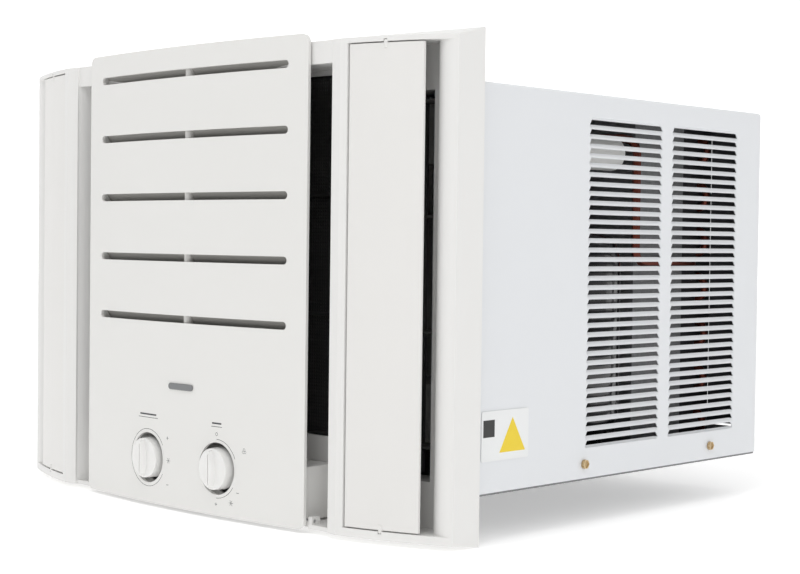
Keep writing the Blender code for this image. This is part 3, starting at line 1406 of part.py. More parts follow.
build_compressor(COMPRESSOR_BLACK, RUBBER)
build_refrigerant_parts(COPPER, COMPRESSOR_BLACK, CAPACITOR_WHITE)
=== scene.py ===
"""Looks of a window air conditioner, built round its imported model.

Metres, front towards -Y, +Z up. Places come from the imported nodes' boxes and a few driving sizes.
"""
import json
import math

import bpy
from mathutils import Matrix, Vector

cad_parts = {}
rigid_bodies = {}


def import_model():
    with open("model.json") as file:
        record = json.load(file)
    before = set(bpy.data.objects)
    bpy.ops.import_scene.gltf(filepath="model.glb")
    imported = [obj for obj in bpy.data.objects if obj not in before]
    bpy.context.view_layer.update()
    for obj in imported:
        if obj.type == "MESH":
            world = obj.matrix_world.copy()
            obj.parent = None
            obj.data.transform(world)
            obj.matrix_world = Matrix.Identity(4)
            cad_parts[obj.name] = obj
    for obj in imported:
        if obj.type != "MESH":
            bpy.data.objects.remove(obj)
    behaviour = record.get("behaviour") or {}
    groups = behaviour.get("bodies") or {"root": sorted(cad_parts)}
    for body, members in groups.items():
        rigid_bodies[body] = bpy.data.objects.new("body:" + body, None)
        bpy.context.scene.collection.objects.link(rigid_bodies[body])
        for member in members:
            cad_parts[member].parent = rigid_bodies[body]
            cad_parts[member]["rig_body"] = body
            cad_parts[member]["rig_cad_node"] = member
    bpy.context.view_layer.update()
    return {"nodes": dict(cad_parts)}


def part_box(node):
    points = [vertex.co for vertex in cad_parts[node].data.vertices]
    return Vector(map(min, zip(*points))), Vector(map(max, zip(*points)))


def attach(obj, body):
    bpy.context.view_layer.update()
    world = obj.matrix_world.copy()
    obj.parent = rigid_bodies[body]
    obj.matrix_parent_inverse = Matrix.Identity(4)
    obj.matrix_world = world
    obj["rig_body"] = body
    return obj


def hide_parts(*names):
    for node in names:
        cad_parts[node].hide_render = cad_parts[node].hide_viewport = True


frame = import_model()

# ---------------------------------------------------------------- driving sizes
WALL = 0.003  # moulded wall of the front
SHEET = 0.0012  # cabinet sheet
HAIR = 0.0001  # lift of a print over the surface that carries it

cabinet_low, cabinet_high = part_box("cabinet_shell")
panel_low, panel_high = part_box("front_panel")
knob_low, knob_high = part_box("temperature_knob")
mode_low, mode_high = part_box("mode_knob")
coil_low, coil_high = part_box("condenser_coil")
evap_low, evap_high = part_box("evaporator_coil")
label_low, label_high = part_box("side_label")

PANEL_HALF = panel_high.x
PANEL_FRONT = panel_low.y  # outer face at the middle
PANEL_BOW = 0.009  # how far the middle stands before the side edges
PANEL_RADIUS = (PANEL_HALF**2 + PANEL_BOW**2) / (2 * PANEL_BOW)
PANEL_CENTRE_Y = PANEL_FRONT + PANEL_RADIUS
PANEL_CORNER = 0.007
SLOT_HALF = PANEL_HALF - 0.021
SLOT_H = 0.0065
SLOT_PITCH = 0.0527
SLOTS_Z = [panel_high.z - 0.0230 - SLOT_PITCH * row for row in range(5)]
KNOB_Z = (knob_low.z + knob_high.z) / 2
KNOB_X = (mode_low.x + mode_high.x) / 2
KNOB_HOLE_R = 0.022

LOUVRE_ROWS = 35
LOUVRE_OPEN = 0.0045
LOUVRE_W = 0.0985
LOUVRE_STEP = LOUVRE_W + 0.0210
LOUVRE_Y = cabinet_high.y - 0.0450 - LOUVRE_W - LOUVRE_STEP  # front end of the first column
LOUVRE_TOP = cabinet_high.z - 0.0215
LOUVRE_BOTTOM = 0.0334
LOUVRE_PITCH = (LOUVRE_TOP - LOUVRE_BOTTOM) / (LOUVRE_ROWS - 1)
LOUVRE_RAMP = 0.0034  # length over which a slat's end is drawn out of the flat sheet
LOUVRE_EDGE = 0.0012  # flat strip beyond a slat's end
SLAT_LEAN = 0.0024  # how far a slat's upper edge leans in


# ---------------------------------------------------------------- handling
def deselect():
    if bpy.context.mode != "OBJECT":
        bpy.ops.object.mode_set(mode="OBJECT")
    bpy.ops.object.select_all(action="DESELECT")


def only(obj):
    deselect()
    obj.select_set(True)
    bpy.context.view_layer.objects.active = obj


def settle(obj):
    only(obj)
    bpy.ops.object.transform_apply(location=True, rotation=True, scale=True)
    return obj


def pick(obj, kind, test):
    """Edit mode with only the vertices, edges or faces selected whose middle passes the test."""
    only(obj)
    bpy.ops.object.mode_set(mode="EDIT")
    bpy.ops.mesh.select_mode(type=kind)
    bpy.ops.mesh.select_all(action="DESELECT")
    bpy.ops.object.mode_set(mode="OBJECT")
    mesh = obj.data
    if kind == "VERT":
        for vert in mesh.vertices:
            vert.select = bool(test(vert.co))
    elif kind == "EDGE":
        for edge in mesh.edges:
            first, second = (mesh.vertices[index].co for index in edge.vertices)
            edge.select = bool(test((first + second) / 2, second - first))
    else:
        for face in mesh.polygons:
            face.select = bool(test(face.center, face.normal))
    bpy.ops.object.mode_set(mode="EDIT")


def pick_all(obj):
    only(obj)
    bpy.ops.object.mode_set(mode="EDIT")
    bpy.ops.mesh.select_all(action="SELECT")


def done():
    bpy.ops.object.mode_set(mode="OBJECT")


def spin(steps, degrees, centre, axis):
    """Spins what is selected counter-clockwise round the axis."""
    bpy.ops.mesh.spin(steps=steps, angle=-math.radians(degrees), center=centre, axis=axis)


def apply(obj, kind, **settings):
    only(obj)
    modifier = obj.modifiers.new(kind.lower(), kind)
    for key, value in settings.items():
        setattr(modifier, key, value)
    bpy.ops.object.modifier_apply(modifier=modifier.name)
    return obj


def block(name, low, high):
    deselect()
    middle = [(a + b) / 2 for a, b in zip(low, high)]
    bpy.ops.mesh.primitive_cube_add(size=1, location=middle)
    obj = bpy.context.object
    obj.name = name
    obj.scale = [abs(b - a) for a, b in zip(low, high)]
    return settle(obj)


def rod(name, start, end, radius, sides=32, tip=None):
    """A cylinder, or a cone to the tip's radius, from start to end."""
    deselect()
    start = Vector(start)
    end = Vector(end)
    turn = Vector((0, 0, 1)).rotation_difference(end - start)
    bpy.ops.mesh.primitive_cone_add(
        vertices=sides,
        radius1=radius,
        radius2=radius if tip is None else tip,
        depth=(end - start).length,
        location=(start + end) / 2,
        rotation=turn.to_euler(),
    )
    obj = bpy.context.object
    obj.name = name
    return settle(obj)


def boolean(obj, other, operation="DIFFERENCE"):
    apply(obj, "BOOLEAN", object=other, operation=operation, solver="EXACT", use_self=False)
    bpy.data.objects.remove(other, do_unlink=True)
    return obj


def merge(*objs):
    only(objs[0])
    for obj in objs[1:]:
        obj.select_set(True)
    bpy.ops.object.join()
    return objs[0]


def outward(obj, distance=0.00001):
    pick_all(obj)
    bpy.ops.mesh.remove_doubles(threshold=distance)
    bpy.ops.mesh.normals_make_consistent(inside=False)
    done()
    return obj


def soften(obj, width, segments=2, angle=30.0):
    """Rounds every edge sharper than the angle and shades the rest smooth."""
    apply(
        obj,
        "BEVEL",
        width=width,
        segments=segments,
        limit_method="ANGLE",
        angle_limit=math.radians(angle),
        harden_normals=False,
        use_clamp_overlap=True,
    )
    return smooth(obj, angle)


def smooth(obj, angle=30.0):
    only(obj)
    bpy.ops.object.shade_smooth_by_angle(angle=math.radians(angle))
    return obj


def weigh(obj):
    apply(obj, "WEIGHTED_NORMAL", keep_sharp=True, weight=80)
    return obj


def node_copy(node, width=0.0, segments=2, angle=30.0):
    """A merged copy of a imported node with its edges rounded, which stands for the node."""
    only(frame["nodes"][node])
    bpy.ops.object.duplicate(linked=False)
    made = bpy.context.object
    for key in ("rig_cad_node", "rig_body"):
        if key in made:
            del made[key]
    made.parent = None
    made.matrix_world = Matrix.Identity(4)
    made.name = "shown_" + node
    made.data.materials.clear()
    pick_all(made)
    bpy.ops.mesh.remove_doubles(threshold=0.000012)
    bpy.ops.mesh.dissolve_limited(angle_limit=math.radians(1.5))
    done()
    if width > 0:
        soften(made, width, segments, angle)
    else:
        smooth(made, angle)
    return made


def finish_piece(obj, body, material, *nodes, slot=None):
    obj.data.materials.clear()
    obj.data.materials.append(material)
    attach(obj, body)
    if nodes:
        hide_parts(*nodes)
    return obj


def bow_y(x):
    """Y of the panel's outer face at x."""
    return PANEL_CENTRE_Y - math.sqrt(PANEL_RADIUS**2 - x * x)


# ---------------------------------------------------------------- finishes
def group(name, inputs, outputs):
    made = bpy.data.node_groups.new(name, "ShaderNodeTree")
    for label, kind, value in inputs:
        socket = made.interface.new_socket(name=label, in_out="INPUT", socket_type=kind)
        socket.default_value = value
    for label, kind in outputs:
        made.interface.new_socket(name=label, in_out="OUTPUT", socket_type=kind)
    given = made.nodes.new("NodeGroupInput")
    result = made.nodes.new("NodeGroupOutput")
    return made, given, result


def math_node(tree, operation, first, second=None, clamp=False):
    node = tree.nodes.new("ShaderNodeMath")
    node.operation = operation
    node.use_clamp = clamp
    for index, value in enumerate((first, second)):
        if value is None:
            continue
        if isinstance(value, (int, float)):
            node.inputs[index].default_value = value
        else:
            tree.links.new(value, node.inputs[index])
    return node.outputs[0]


def mix_node(tree, factor, first, second):
    node = tree.nodes.new("ShaderNodeMix")
    node.data_type = "RGBA"
    for socket, value in ((node.inputs[0], factor), (node.inputs[6], first), (node.inputs[7], second)):
        if isinstance(value, (int, float)):
            socket.default_value = value
        elif isinstance(value, tuple):
            socket.default_value = value
        else:
            tree.links.new(value, socket)
    return node.outputs[2]


def noise_node(tree, coordinates, scale, detail=3.0, rough=0.55):
    node = tree.nodes.new("ShaderNodeTexNoise")
    node.inputs["Detail"].default_value = detail
    node.inputs["Roughness"].default_value = rough
    tree.links.new(coordinates, node.inputs["Vector"])
    if isinstance(scale, (int, float)):
        node.inputs["Scale"].default_value = scale
    else:
        tree.links.new(scale, node.inputs["Scale"])
    return node.outputs["Fac"]


def make_grain_group():
    """Fine moulded or painted grain, with a slow drift of tone and gloss."""
    tree, given, result = group(
        "fine_grain",
        [
            ("Coordinates", "NodeSocketVector", (0.0, 0.0, 0.0)),
            ("Colour", "NodeSocketColor", (0.8, 0.8, 0.8, 1.0)),
            ("Shade", "NodeSocketColor", (0.7, 0.7, 0.7, 1.0)),
            ("Grain Scale", "NodeSocketFloat", 900.0),
            ("Drift Scale", "NodeSocketFloat", 6.0),
            ("Drift", "NodeSocketFloat", 0.25),
            ("Roughness", "NodeSocketFloat", 0.4),
            ("Roughness Spread", "NodeSocketFloat", 0.08),
        ],
        [
            ("Colour", "NodeSocketColor"),
            ("Roughness", "NodeSocketFloat"),
            ("Height", "NodeSocketFloat"),
        ],
    )
    fine = noise_node(tree, given.outputs["Coordinates"], given.outputs["Grain Scale"], 2.0)
    slow = noise_node(tree, given.outputs["Coordinates"], given.outputs["Drift Scale"], 3.0)
    amount = math_node(tree, "MULTIPLY", slow, given.outputs["Drift"], clamp=True)
    tone = mix_node(tree, amount, given.outputs["Colour"], given.outputs["Shade"])
    offset = math_node(tree, "SUBTRACT", slow, 0.5)
    spread = math_node(tree, "MULTIPLY", offset, given.outputs["Roughness Spread"])
    rough = math_node(tree, "ADD", spread, given.outputs["Roughness"], clamp=True)
    tree.links.new(tone, result.inputs["Colour"])
    tree.links.new(rough, result.inputs["Roughness"])
    tree.links.new(fine, result.inputs["Height"])
    return tree


def make_fin_group():
    """Closely stacked fins: narrow bright ridges, with painted shade for the dark gaps between them."""
    tree, given, result = group(
        "fin_stack",
        [
            ("Coordinates", "NodeSocketVector", (0.0, 0.0, 0.0)),
            ("Fin Scale", "NodeSocketFloat", 260.0),
            ("Fin", "NodeSocketColor", (0.7, 0.7, 0.7, 1.0)),
            ("Gap Shade", "NodeSocketColor", (0.05, 0.05, 0.05, 1.0)),
        ],
        [("Colour", "NodeSocketColor"), ("Height", "NodeSocketFloat")],
    )
    wave = tree.nodes.new("ShaderNodeTexWave")
    wave.wave_type = "BANDS"
    wave.bands_direction = "X"
    wave.inputs["Distortion"].default_value = 0.6
    wave.inputs["Detail"].default_value = 1.0
    tree.links.new(given.outputs["Coordinates"], wave.inputs["Vector"])
    tree.links.new(given.outputs["Fin Scale"], wave.inputs["Scale"])
    ridge = math_node(tree, "POWER", wave.outputs["Fac"], 0.8)
    tone = mix_node(tree, ridge, given.outputs["Gap Shade"], given.outputs["Fin"])
    tree.links.new(tone, result.inputs["Colour"])
    tree.links.new(ridge, result.inputs["Height"])
    return tree


def make_mesh_group():
    """A square weave: threads up and across, with a mask of the holes."""
    tree, given, result = group(
        "square_weave",
        [
            ("Coordinates", "NodeSocketVector", (0.0, 0.0, 0.0)),
            ("Thread Scale", "NodeSocketFloat", 200.0),
        ],
        [("Thread", "NodeSocketFloat"), ("Height", "NodeSocketFloat")],
    )
    heights = []
    for direction in ("X", "Z"):
        wave = tree.nodes.new("ShaderNodeTexWave")
        wave.wave_type = "BANDS"
        wave.bands_direction = direction
        tree.links.new(given.outputs["Coordinates"], wave.inputs["Vector"])
        tree.links.new(given.outputs["Thread Scale"], wave.inputs["Scale"])
        heights.append(wave.outputs["Fac"])
    top = math_node(tree, "MAXIMUM", heights[0], heights[1])
    tree.links.new(math_node(tree, "GREATER_THAN", top, 0.22), result.inputs["Thread"])
    tree.links.new(top, result.inputs["Height"])
    return tree


def make_spangle_group():
    """Zinc crystals on dipped sheet."""
    tree, given, result = group(
        "zinc_spangle",
        [
            ("Coordinates", "NodeSocketVector", (0.0, 0.0, 0.0)),
            ("Crystal Scale", "NodeSocketFloat", 120.0),
            ("Light", "NodeSocketColor", (0.62, 0.63, 0.64, 1.0)),
            ("Dark", "NodeSocketColor", (0.46, 0.47, 0.48, 1.0)),
        ],
        [("Colour", "NodeSocketColor"), ("Roughness", "NodeSocketFloat"), ("Height", "NodeSocketFloat")],
    )
    cells = tree.nodes.new("ShaderNodeTexVoronoi")
    tree.links.new(given.outputs["Coordinates"], cells.inputs["Vector"])
    tree.links.new(given.outputs["Crystal Scale"], cells.inputs["Scale"])
    parts = tree.nodes.new("ShaderNodeSeparateColor")
    tree.links.new(cells.outputs["Color"], parts.inputs["Color"])
    tone = mix_node(tree, parts.outputs[0], given.outputs["Light"], given.outputs["Dark"])
    rough = math_node(tree, "MULTIPLY_ADD", parts.outputs[1], 0.16)
    rough.node.inputs[2].default_value = 0.44
    tree.links.new(tone, result.inputs["Colour"])
    tree.links.new(rough, result.inputs["Roughness"])
    tree.links.new(cells.outputs["Distance"], result.inputs["Height"])
    return tree


GRAIN = make_grain_group()
FINS = make_fin_group()
WEAVE = make_mesh_group()
SPANGLE = make_spangle_group()


def place_group(material, tree, values):
    """The group fed with object coordinates; returns its node, the shader and the tree."""
    nodes = material.node_tree
    where = nodes.nodes.new("ShaderNodeTexCoord")
    node = nodes.nodes.new("ShaderNodeGroup")
    node.node_tree = tree
    nodes.links.new(where.outputs["Object"], node.inputs["Coordinates"])
    for key, value in values.items():
        node.inputs[key].default_value = value
    return node


def new_material(name, metallic=0.0, coat=0.0, coat_rough=0.1, ior=1.5):
    material = bpy.data.materials.new(name)
    material.use_nodes = True
    shader = material.node_tree.nodes["Principled BSDF"]
    shader.inputs["Metallic"].default_value = metallic
    shader.inputs["Coat Weight"].default_value = coat
    shader.inputs["Coat Roughness"].default_value = coat_rough
    shader.inputs["IOR"].default_value = ior
    return material, shader


def bump(material, shader, height, depth, strength=1.0):
    nodes = material.node_tree
    node = nodes.nodes.new("ShaderNodeBump")
    node.inputs["Strength"].default_value = strength
    node.inputs["Distance"].default_value = depth
    nodes.links.new(height, node.inputs["Height"])
    nodes.links.new(node.outputs["Normal"], shader.inputs["Normal"])


def grained(
    name, colour, shade, rough, grain=900.0, depth=0.00002, drift=0.25, spread=0.08, drift_scale=6.0, **other
):
    material, shader = new_material(name, **other)
    node = place_group(
        material,
        GRAIN,
        {
            "Colour": (*colour, 1.0),
            "Shade": (*shade, 1.0),
            "Grain Scale": grain,
            "Drift Scale": drift_scale,
            "Drift": drift,
            "Roughness": rough,
            "Roughness Spread": spread,
        },
    )
    links = material.node_tree.links
    links.new(node.outputs["Colour"], shader.inputs["Base Color"])
    links.new(node.outputs["Roughness"], shader.inputs["Roughness"])
    bump(material, shader, node.outputs["Height"], depth)
    return material


def finned(name, fin, gap_shade, scale, metallic):
    material, shader = new_material(name, metallic=metallic)
    node = place_group(material, FINS, {"Fin": (*fin, 1.0), "Gap Shade": (*gap_shade, 1.0), "Fin Scale": scale})
    shader.inputs["Roughness"].default_value = 0.45
    material.node_tree.links.new(node.outputs["Colour"], shader.inputs["Base Color"])
    bump(material, shader, node.outputs["Height"], 0.0004)
    return material


def woven(name, colour, scale):
    material, shader = new_material(name)
    node = place_group(material, WEAVE, {"Thread Scale": scale})
    shader.inputs["Base Color"].default_value = (*colour, 1.0)
    shader.inputs["Roughness"].default_value = 0.6
    material.node_tree.links.new(node.outputs["Thread"], shader.inputs["Alpha"])
    bump(material, shader, node.outputs["Height"], 0.0003)
    return material


def spangled(name, light, dark, scale):
    material, shader = new_material(name, metallic=0.45)
    values = {"Light": (*light, 1.0), "Dark": (*dark, 1.0), "Crystal Scale": scale}
    node = place_group(material, SPANGLE, values)
    links = material.node_tree.links
    links.new(node.outputs["Colour"], shader.inputs["Base Color"])
    links.new(node.outputs["Roughness"], shader.inputs["Roughness"])
    bump(material, shader, node.outputs["Height"], 0.00002)
    return material


BEZEL_PLASTIC = grained("bezel_plastic", (0.815, 0.81, 0.795), (0.76, 0.75, 0.73), 0.40, depth=0.000015)
PANEL_PLASTIC = grained("panel_plastic", (0.80, 0.795, 0.775), (0.75, 0.74, 0.715), 0.36, depth=0.000012)
VANE_PLASTIC = grained("vane_plastic", (0.80, 0.79, 0.77), (0.74, 0.73, 0.71), 0.40, depth=0.000015)
KNOB_PLASTIC = grained(
    "knob_plastic", (0.84, 0.835, 0.82), (0.79, 0.785, 0.77), 0.24, depth=0.000004, coat=0.4
)
# painted shade: the baffles are the panel's white plastic, coloured dark grey to stand for the shade behind
# the slots
BAFFLE_PAINTED_SHADE = grained("baffle_painted_shade", (0.40, 0.39, 0.37), (0.34, 0.33, 0.31), 0.55, depth=0.00002)
# painted shade: the rib is the panel's white plastic, coloured a little darker for the shade behind the slots
RIB_PAINTED_SHADE = grained("rib_painted_shade", (0.72, 0.71, 0.69), (0.64, 0.63, 0.61), 0.5, depth=0.00002)
SHEET_PAINT = grained(
    "cabinet_paint", (0.775, 0.79, 0.81), (0.74, 0.755, 0.775), 0.34, grain=420.0, depth=0.000012, drift=0.3
)
FILTER_BLACK = grained("filter_black", (0.012, 0.012, 0.012), (0.02, 0.02, 0.02), 0.55)
FILTER_MESH = woven("filter_mesh_black", (0.012, 0.012, 0.012), 110.0)
SWITCH_BLACK = grained("switch_black", (0.03, 0.03, 0.032), (0.05, 0.05, 0.05), 0.5)
PRINT_GREY = grained("print_grey", (0.05, 0.052, 0.056), (0.07, 0.07, 0.075), 0.5)
BADGE_GREY = grained("badge_grey", (0.20, 0.205, 0.21), (0.26, 0.265, 0.27), 0.35, metallic=0.3)
LABEL_WHITE = grained("label_white", (0.84, 0.85, 0.85), (0.78, 0.79, 0.79), 0.35, depth=0.000004)
LABEL_YELLOW = grained("label_yellow", (0.86, 0.64, 0.02), (0.80, 0.58, 0.02), 0.35, depth=0.000004)
LABEL_DARK = grained("label_dark", (0.02, 0.02, 0.02), (0.035, 0.035, 0.035), 0.35, depth=0.000004)
STEEL = grained("turned_steel", (0.58, 0.58, 0.59), (0.46, 0.46, 0.47), 0.30, grain=300.0, metallic=1.0)
ZINC = grained(
    "yellow_zinc", (0.62, 0.47, 0.24), (0.52, 0.40, 0.30), 0.34, grain=200.0, drift=0.8, metallic=1.0
)
GALVANISED = spangled("galvanised_sheet", (0.25, 0.253, 0.257), (0.215, 0.218, 0.222), 420.0)
FOAM = grained("foam_white", (0.84, 0.84, 0.82), (0.76, 0.76, 0.74), 0.9, grain=500.0, depth=0.0003)
GUIDE_GREY = grained("guide_grey", (0.26, 0.26, 0.27), (0.22, 0.22, 0.23), 0.6)
# painted shade: the throat blades are coloured near black for the shade inside the outlet throat
BLADE_PAINTED_SHADE = grained("blade_painted_shade", (0.075, 0.074, 0.072), (0.05, 0.05, 0.05), 0.5)
FAN_BLACK = grained("fan_black", (0.025, 0.025, 0.027), (0.04, 0.04, 0.04), 0.42)
MOTOR_STEEL = grained("motor_steel", (0.36, 0.37, 0.39), (0.28, 0.29, 0.30), 0.42, grain=350.0, metallic=0.8)
# painted shade: each fin stack's gap colour stands for the shade between the fins; the condenser's fin tone
# is also set far darker than the evaporator's
CONDENSER_FINS = finned("condenser_fins", (0.22, 0.22, 0.23), (0.02, 0.02, 0.02), 160.0, 0.8)
END_PLATE = grained("end_plate", (0.045, 0.045, 0.048), (0.07, 0.07, 0.072), 0.45, metallic=0.4)
EVAPORATOR_FINS = finned("evaporator_fins", (0.62, 0.62, 0.62), (0.06, 0.06, 0.06), 160.0, 0.9)
COPPER = grained(
    "copper",
    (0.24, 0.06, 0.035),
    (0.10, 0.025, 0.02),
    0.34,
    grain=180.0,
    drift=1.0,
    drift_scale=24.0,
    metallic=0.9,
)
COMPRESSOR_BLACK = grained(
    "compressor_black", (0.012, 0.012, 0.014), (0.02, 0.02, 0.022), 0.16, grain=500.0, depth=0.00001, coat=0.5
)
RUBBER = grained("grommet_rubber", (0.02, 0.02, 0.02), (0.035, 0.035, 0.035), 0.8)
# painted shade: the grey-coated rear guard is coloured near black for its shadowed face
GUARD_PAINTED_SHADE = grained("guard_grey", (0.055, 0.056, 0.06), (0.035, 0.036, 0.04), 0.5, grain=600.0)
CAPACITOR_WHITE = grained("capacitor_white", (0.80, 0.80, 0.78), (0.72, 0.72, 0.70), 0.3)


# ---------------------------------------------------------------- front bezel
def make_bezel():
    bezel = node_copy("front_bezel", 0.0006, 2, 28.0)
    bezel.name = "bezel_moulding"
    weigh(bezel)
    return finish_piece(bezel, "chassis", BEZEL_PLASTIC, "front_bezel", slot="warm_white_plastic")


# ---------------------------------------------------------------- bowed front panel
def spin_shell(name, x_half, front_offset, thickness, z_low, z_high, steps):
    """A strip of the panel's arc, its outer face the given distance behind the panel's."""
    half_angle = math.asin(x_half / PANEL_RADIUS)
    middle = PANEL_RADIUS - front_offset - thickness / 2
    deselect()
    bpy.ops.mesh.primitive_plane_add(
        size=1,
        location=(
            -middle * math.sin(half_angle),
            PANEL_CENTRE_Y - middle * math.cos(half_angle),
            (z_low + z_high) / 2,
        ),
        rotation=(0, math.radians(90), -half_angle),
    )
    strip = bpy.context.object
    strip.name = name
    strip.scale = (z_high - z_low, thickness, 1)
    settle(strip)
    pick_all(strip)
    spin(steps, math.degrees(2 * half_angle), (0, PANEL_CENTRE_Y, 0), (0, 0, 1))
    bpy.ops.mesh.select_all(action="SELECT")
    bpy.ops.mesh.normals_make_consistent(inside=False)
    done()
    if max(vert.co.x for vert in strip.data.vertices) < x_half * 0.9:
        raise ValueError("the panel's arc was spun the wrong way")
    return strip


def stadium(name, half_x, y_low, y_high, z, height):
    bar = block(name, (-half_x, y_low, z - height / 2), (half_x, y_high, z + height / 2))
    pick(bar, "EDGE", lambda at, along: abs(along.y) > 0.5 * (y_high - y_low) and abs(along.x) < 1e-6)
    bpy.ops.mesh.bevel(offset=height / 2 - 0.00005, segments=6, affect="EDGES")
    done()
    return bar


def make_panel():
    panel = spin_shell("panel_moulding", PANEL_HALF, 0.0, WALL, panel_low.z, panel_high.z, 36)
    pick(
        panel,
        "EDGE",
        lambda at, along: abs(at.x) > PANEL_HALF - 0.002
        and along.length < WALL * 1.2
        and (abs(at.z - panel_low.z) < 1e-5 or abs(at.z - panel_high.z) < 1e-5),
    )
    bpy.ops.mesh.bevel(offset=PANEL_CORNER, segments=6, affect="EDGES")
    done()
    for z in SLOTS_Z:
        boolean(panel, stadium("slot_cutter", SLOT_HALF, -0.09, -0.045, z, SLOT_H))
    for sign in (-1, 1):
        front_end = (sign * KNOB_X, -0.09, KNOB_Z)
        back_end = (sign * KNOB_X, -0.04, KNOB_Z)
        boolean(panel, rod("hole_cutter", front_end, back_end, KNOB_HOLE_R, 64))
    soften(panel, 0.0009, 3, 35.0)
    weigh(panel)
    finish_piece(panel, "grille_panel", PANEL_PLASTIC, "front_panel", slot="panel_plastic")

    # a baffle slants down and back from each slot's upper edge; its dark grey is painted shade on the panel's
    # white plastic
    baffles = []
    for z in SLOTS_Z:
        baffle = spin_shell("baffle", SLOT_HALF + 0.004, WALL + 0.0004, 0.0016, z - 0.0052, z + 0.0060, 24)
        pick(baffle, "VERT", lambda at: at.z < z)
        bpy.ops.transform.translate(value=(0, 0.0085, 0))
        done()
        baffles.append(baffle)
    shelf = merge(*baffles)
    shelf.name = "panel_baffles"
    soften(shelf, 0.0004, 1)
    finish_piece(shelf, "grille_panel", BAFFLE_PAINTED_SHADE)
    cheeks = []
    for z in SLOTS_Z:
        for sign in (-1, 1):
            inner = sign * SLOT_HALF
            outer = sign * (SLOT_HALF + 0.0015)
            back = bow_y(SLOT_HALF) + WALL
            cheek_low = (inner, back - 0.0004, z - 0.0050)
            cheeks.append(block("cheek", cheek_low, (outer, back + 0.0085, z + 0.0050)))
    sides = merge(*cheeks)
    sides.name = "slot_cheeks"
    soften(sides, 0.0002, 1)
    finish_piece(sides, "grille_panel", PANEL_PLASTIC)
    # the rib's grey is painted shade on the panel's white plastic
    rib_y = PANEL_FRONT + 0.0075
    rib = rod("panel_rib", (0, rib_y, SLOTS_Z[-1] - 0.018), (0, rib_y, SLOTS_Z[0] + 0.014), 0.0042, 24)
    soften(rib, 0.0008, 2)
    finish_piece(rib, "grille_panel", RIB_PAINTED_SHADE)
    return panel


def make_badge():
    low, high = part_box("panel_badge")
    z = (low.z + high.z) / 2
    pill = stadium("panel_mark", 0.0165, low.y, high.y, z, 0.0055)
    soften(pill, 0.00015, 1)
    finish_piece(pill, "grille_panel", BADGE_GREY, "panel_badge", slot="badge_grey")


# ---------------------------------------------------------------- printed scales
def lay_on_panel(obj):
    """Drops a flat print, drawn in the XZ plane, onto the bowed face."""
    for vert in obj.data.vertices:
        vert.co.y = bow_y(vert.co.x) - HAIR + (HAIR * 0.9 if vert.co.y > 0 else 0.0)
    return obj


def print_bar(x, z, half_x, half_z, turn=0.0):
    deselect()
    upright = (math.radians(90), 0, 0)
    bpy.ops.mesh.primitive_grid_add(x_subdivisions=6, y_subdivisions=1, size=1, rotation=upright)
    bar = bpy.context.object
    bar.scale = (2 * half_x, 2 * half_z, 1)
    settle(bar)
    bar.rotation_euler = (0, turn, 0)
    bar.location = (x, 0, z)
    return settle(bar)


def print_arc(x, z, radius, start, end, width):
    """Part of a ring from start to end, in degrees counter-clockwise from the right."""
    deselect()
    bpy.ops.mesh.primitive_plane_add(size=1, rotation=(math.radians(90), 0, 0))
    arc = bpy.context.object
    arc.scale = (width, 0.00001, 1)
    settle(arc)
    pick(arc, "EDGE", lambda at, along: at.z < 0 and abs(along.x) > 0)
    bpy.ops.mesh.select_all(action="INVERT")
    bpy.ops.mesh.delete(type="EDGE")
    done()
    begin = math.radians(start)
    arc.rotation_euler = (0, -begin, 0)
    arc.location = (x + radius * math.cos(begin), 0, z + radius * math.sin(begin))
    settle(arc)
    pick_all(arc)
    steps = max(2, int(abs(end - start) / 6))
    spin(steps, end - start, (x, 0, z), (0, -1, 0))
    done()
    return arc


def print_flake(x, z, size):
    return [print_bar(x, z, size, 0.00016, math.radians(60 * turn)) for turn in range(3)]


def make_prints():
    marks = []
    line = 0.00022
    x = -KNOB_X
    marks.append(print_arc(x, KNOB_Z, 0.0252, 30, 330, 0.0004))
    marks.append(print_bar(x, KNOB_Z + 0.0352, 0.0145, line))
    marks.append(print_bar(x, KNOB_Z + 0.0380, 0.0120, 0.0007))
    marks.append(print_bar(x + 0.0285, KNOB_Z + 0.0195, 0.0014, line))
    marks.append(print_bar(x + 0.0285, KNOB_Z + 0.0195, 0.0014, line, math.radians(90)))
    marks.append(print_bar(x + 0.0289, KNOB_Z - 0.0212, 0.0014, line))
    marks.extend(print_flake(x + 0.0300, KNOB_Z, 0.0026))
    x = KNOB_X
    marks.append(print_arc(x, KNOB_Z, 0.0248, 24, 90, 0.0004))
    marks.append(print_arc(x, KNOB_Z, 0.0248, 270, 326, 0.0004))
    marks.append(print_bar(x, KNOB_Z + 0.0352, 0.0066, line))
    marks.append(print_bar(x, KNOB_Z + 0.0380, 0.0058, 0.0007))
    marks.append(print_arc(x, KNOB_Z + 0.0290, 0.0013, 0, 354, 0.0004))
    for turn in (math.radians(90), math.radians(210), math.radians(330)):
        mark_x = x + 0.0335 + 0.0013 * math.cos(turn)
        mark_z = KNOB_Z + 0.0175 + 0.0013 * math.sin(turn)
        marks.append(print_arc(mark_x, mark_z, 0.0011, 0, 354, 0.0003))
    marks.append(print_bar(x + 0.0263, KNOB_Z - 0.0179, 0.0014, line))
    marks.append(print_bar(x, KNOB_Z - 0.0300, 0.0014, line))
    marks.append(print_bar(x, KNOB_Z - 0.0300, 0.0014, line, math.radians(90)))
    marks.extend(print_flake(x + 0.0184, KNOB_Z - 0.0270, 0.0026))
    prints = merge(*marks)
    prints.name = "control_scales"
    lay_on_panel(prints)
    pick_all(prints)
    bpy.ops.mesh.remove_doubles(threshold=0.000005)
    done()
    for face in prints.data.polygons:
        if face.normal.y > 0:
            face.flip()
    apply(prints, "SOLIDIFY", thickness=HAIR * 0.8, offset=-1.0)
    finish_piece(prints, "grille_panel", PRINT_GREY)


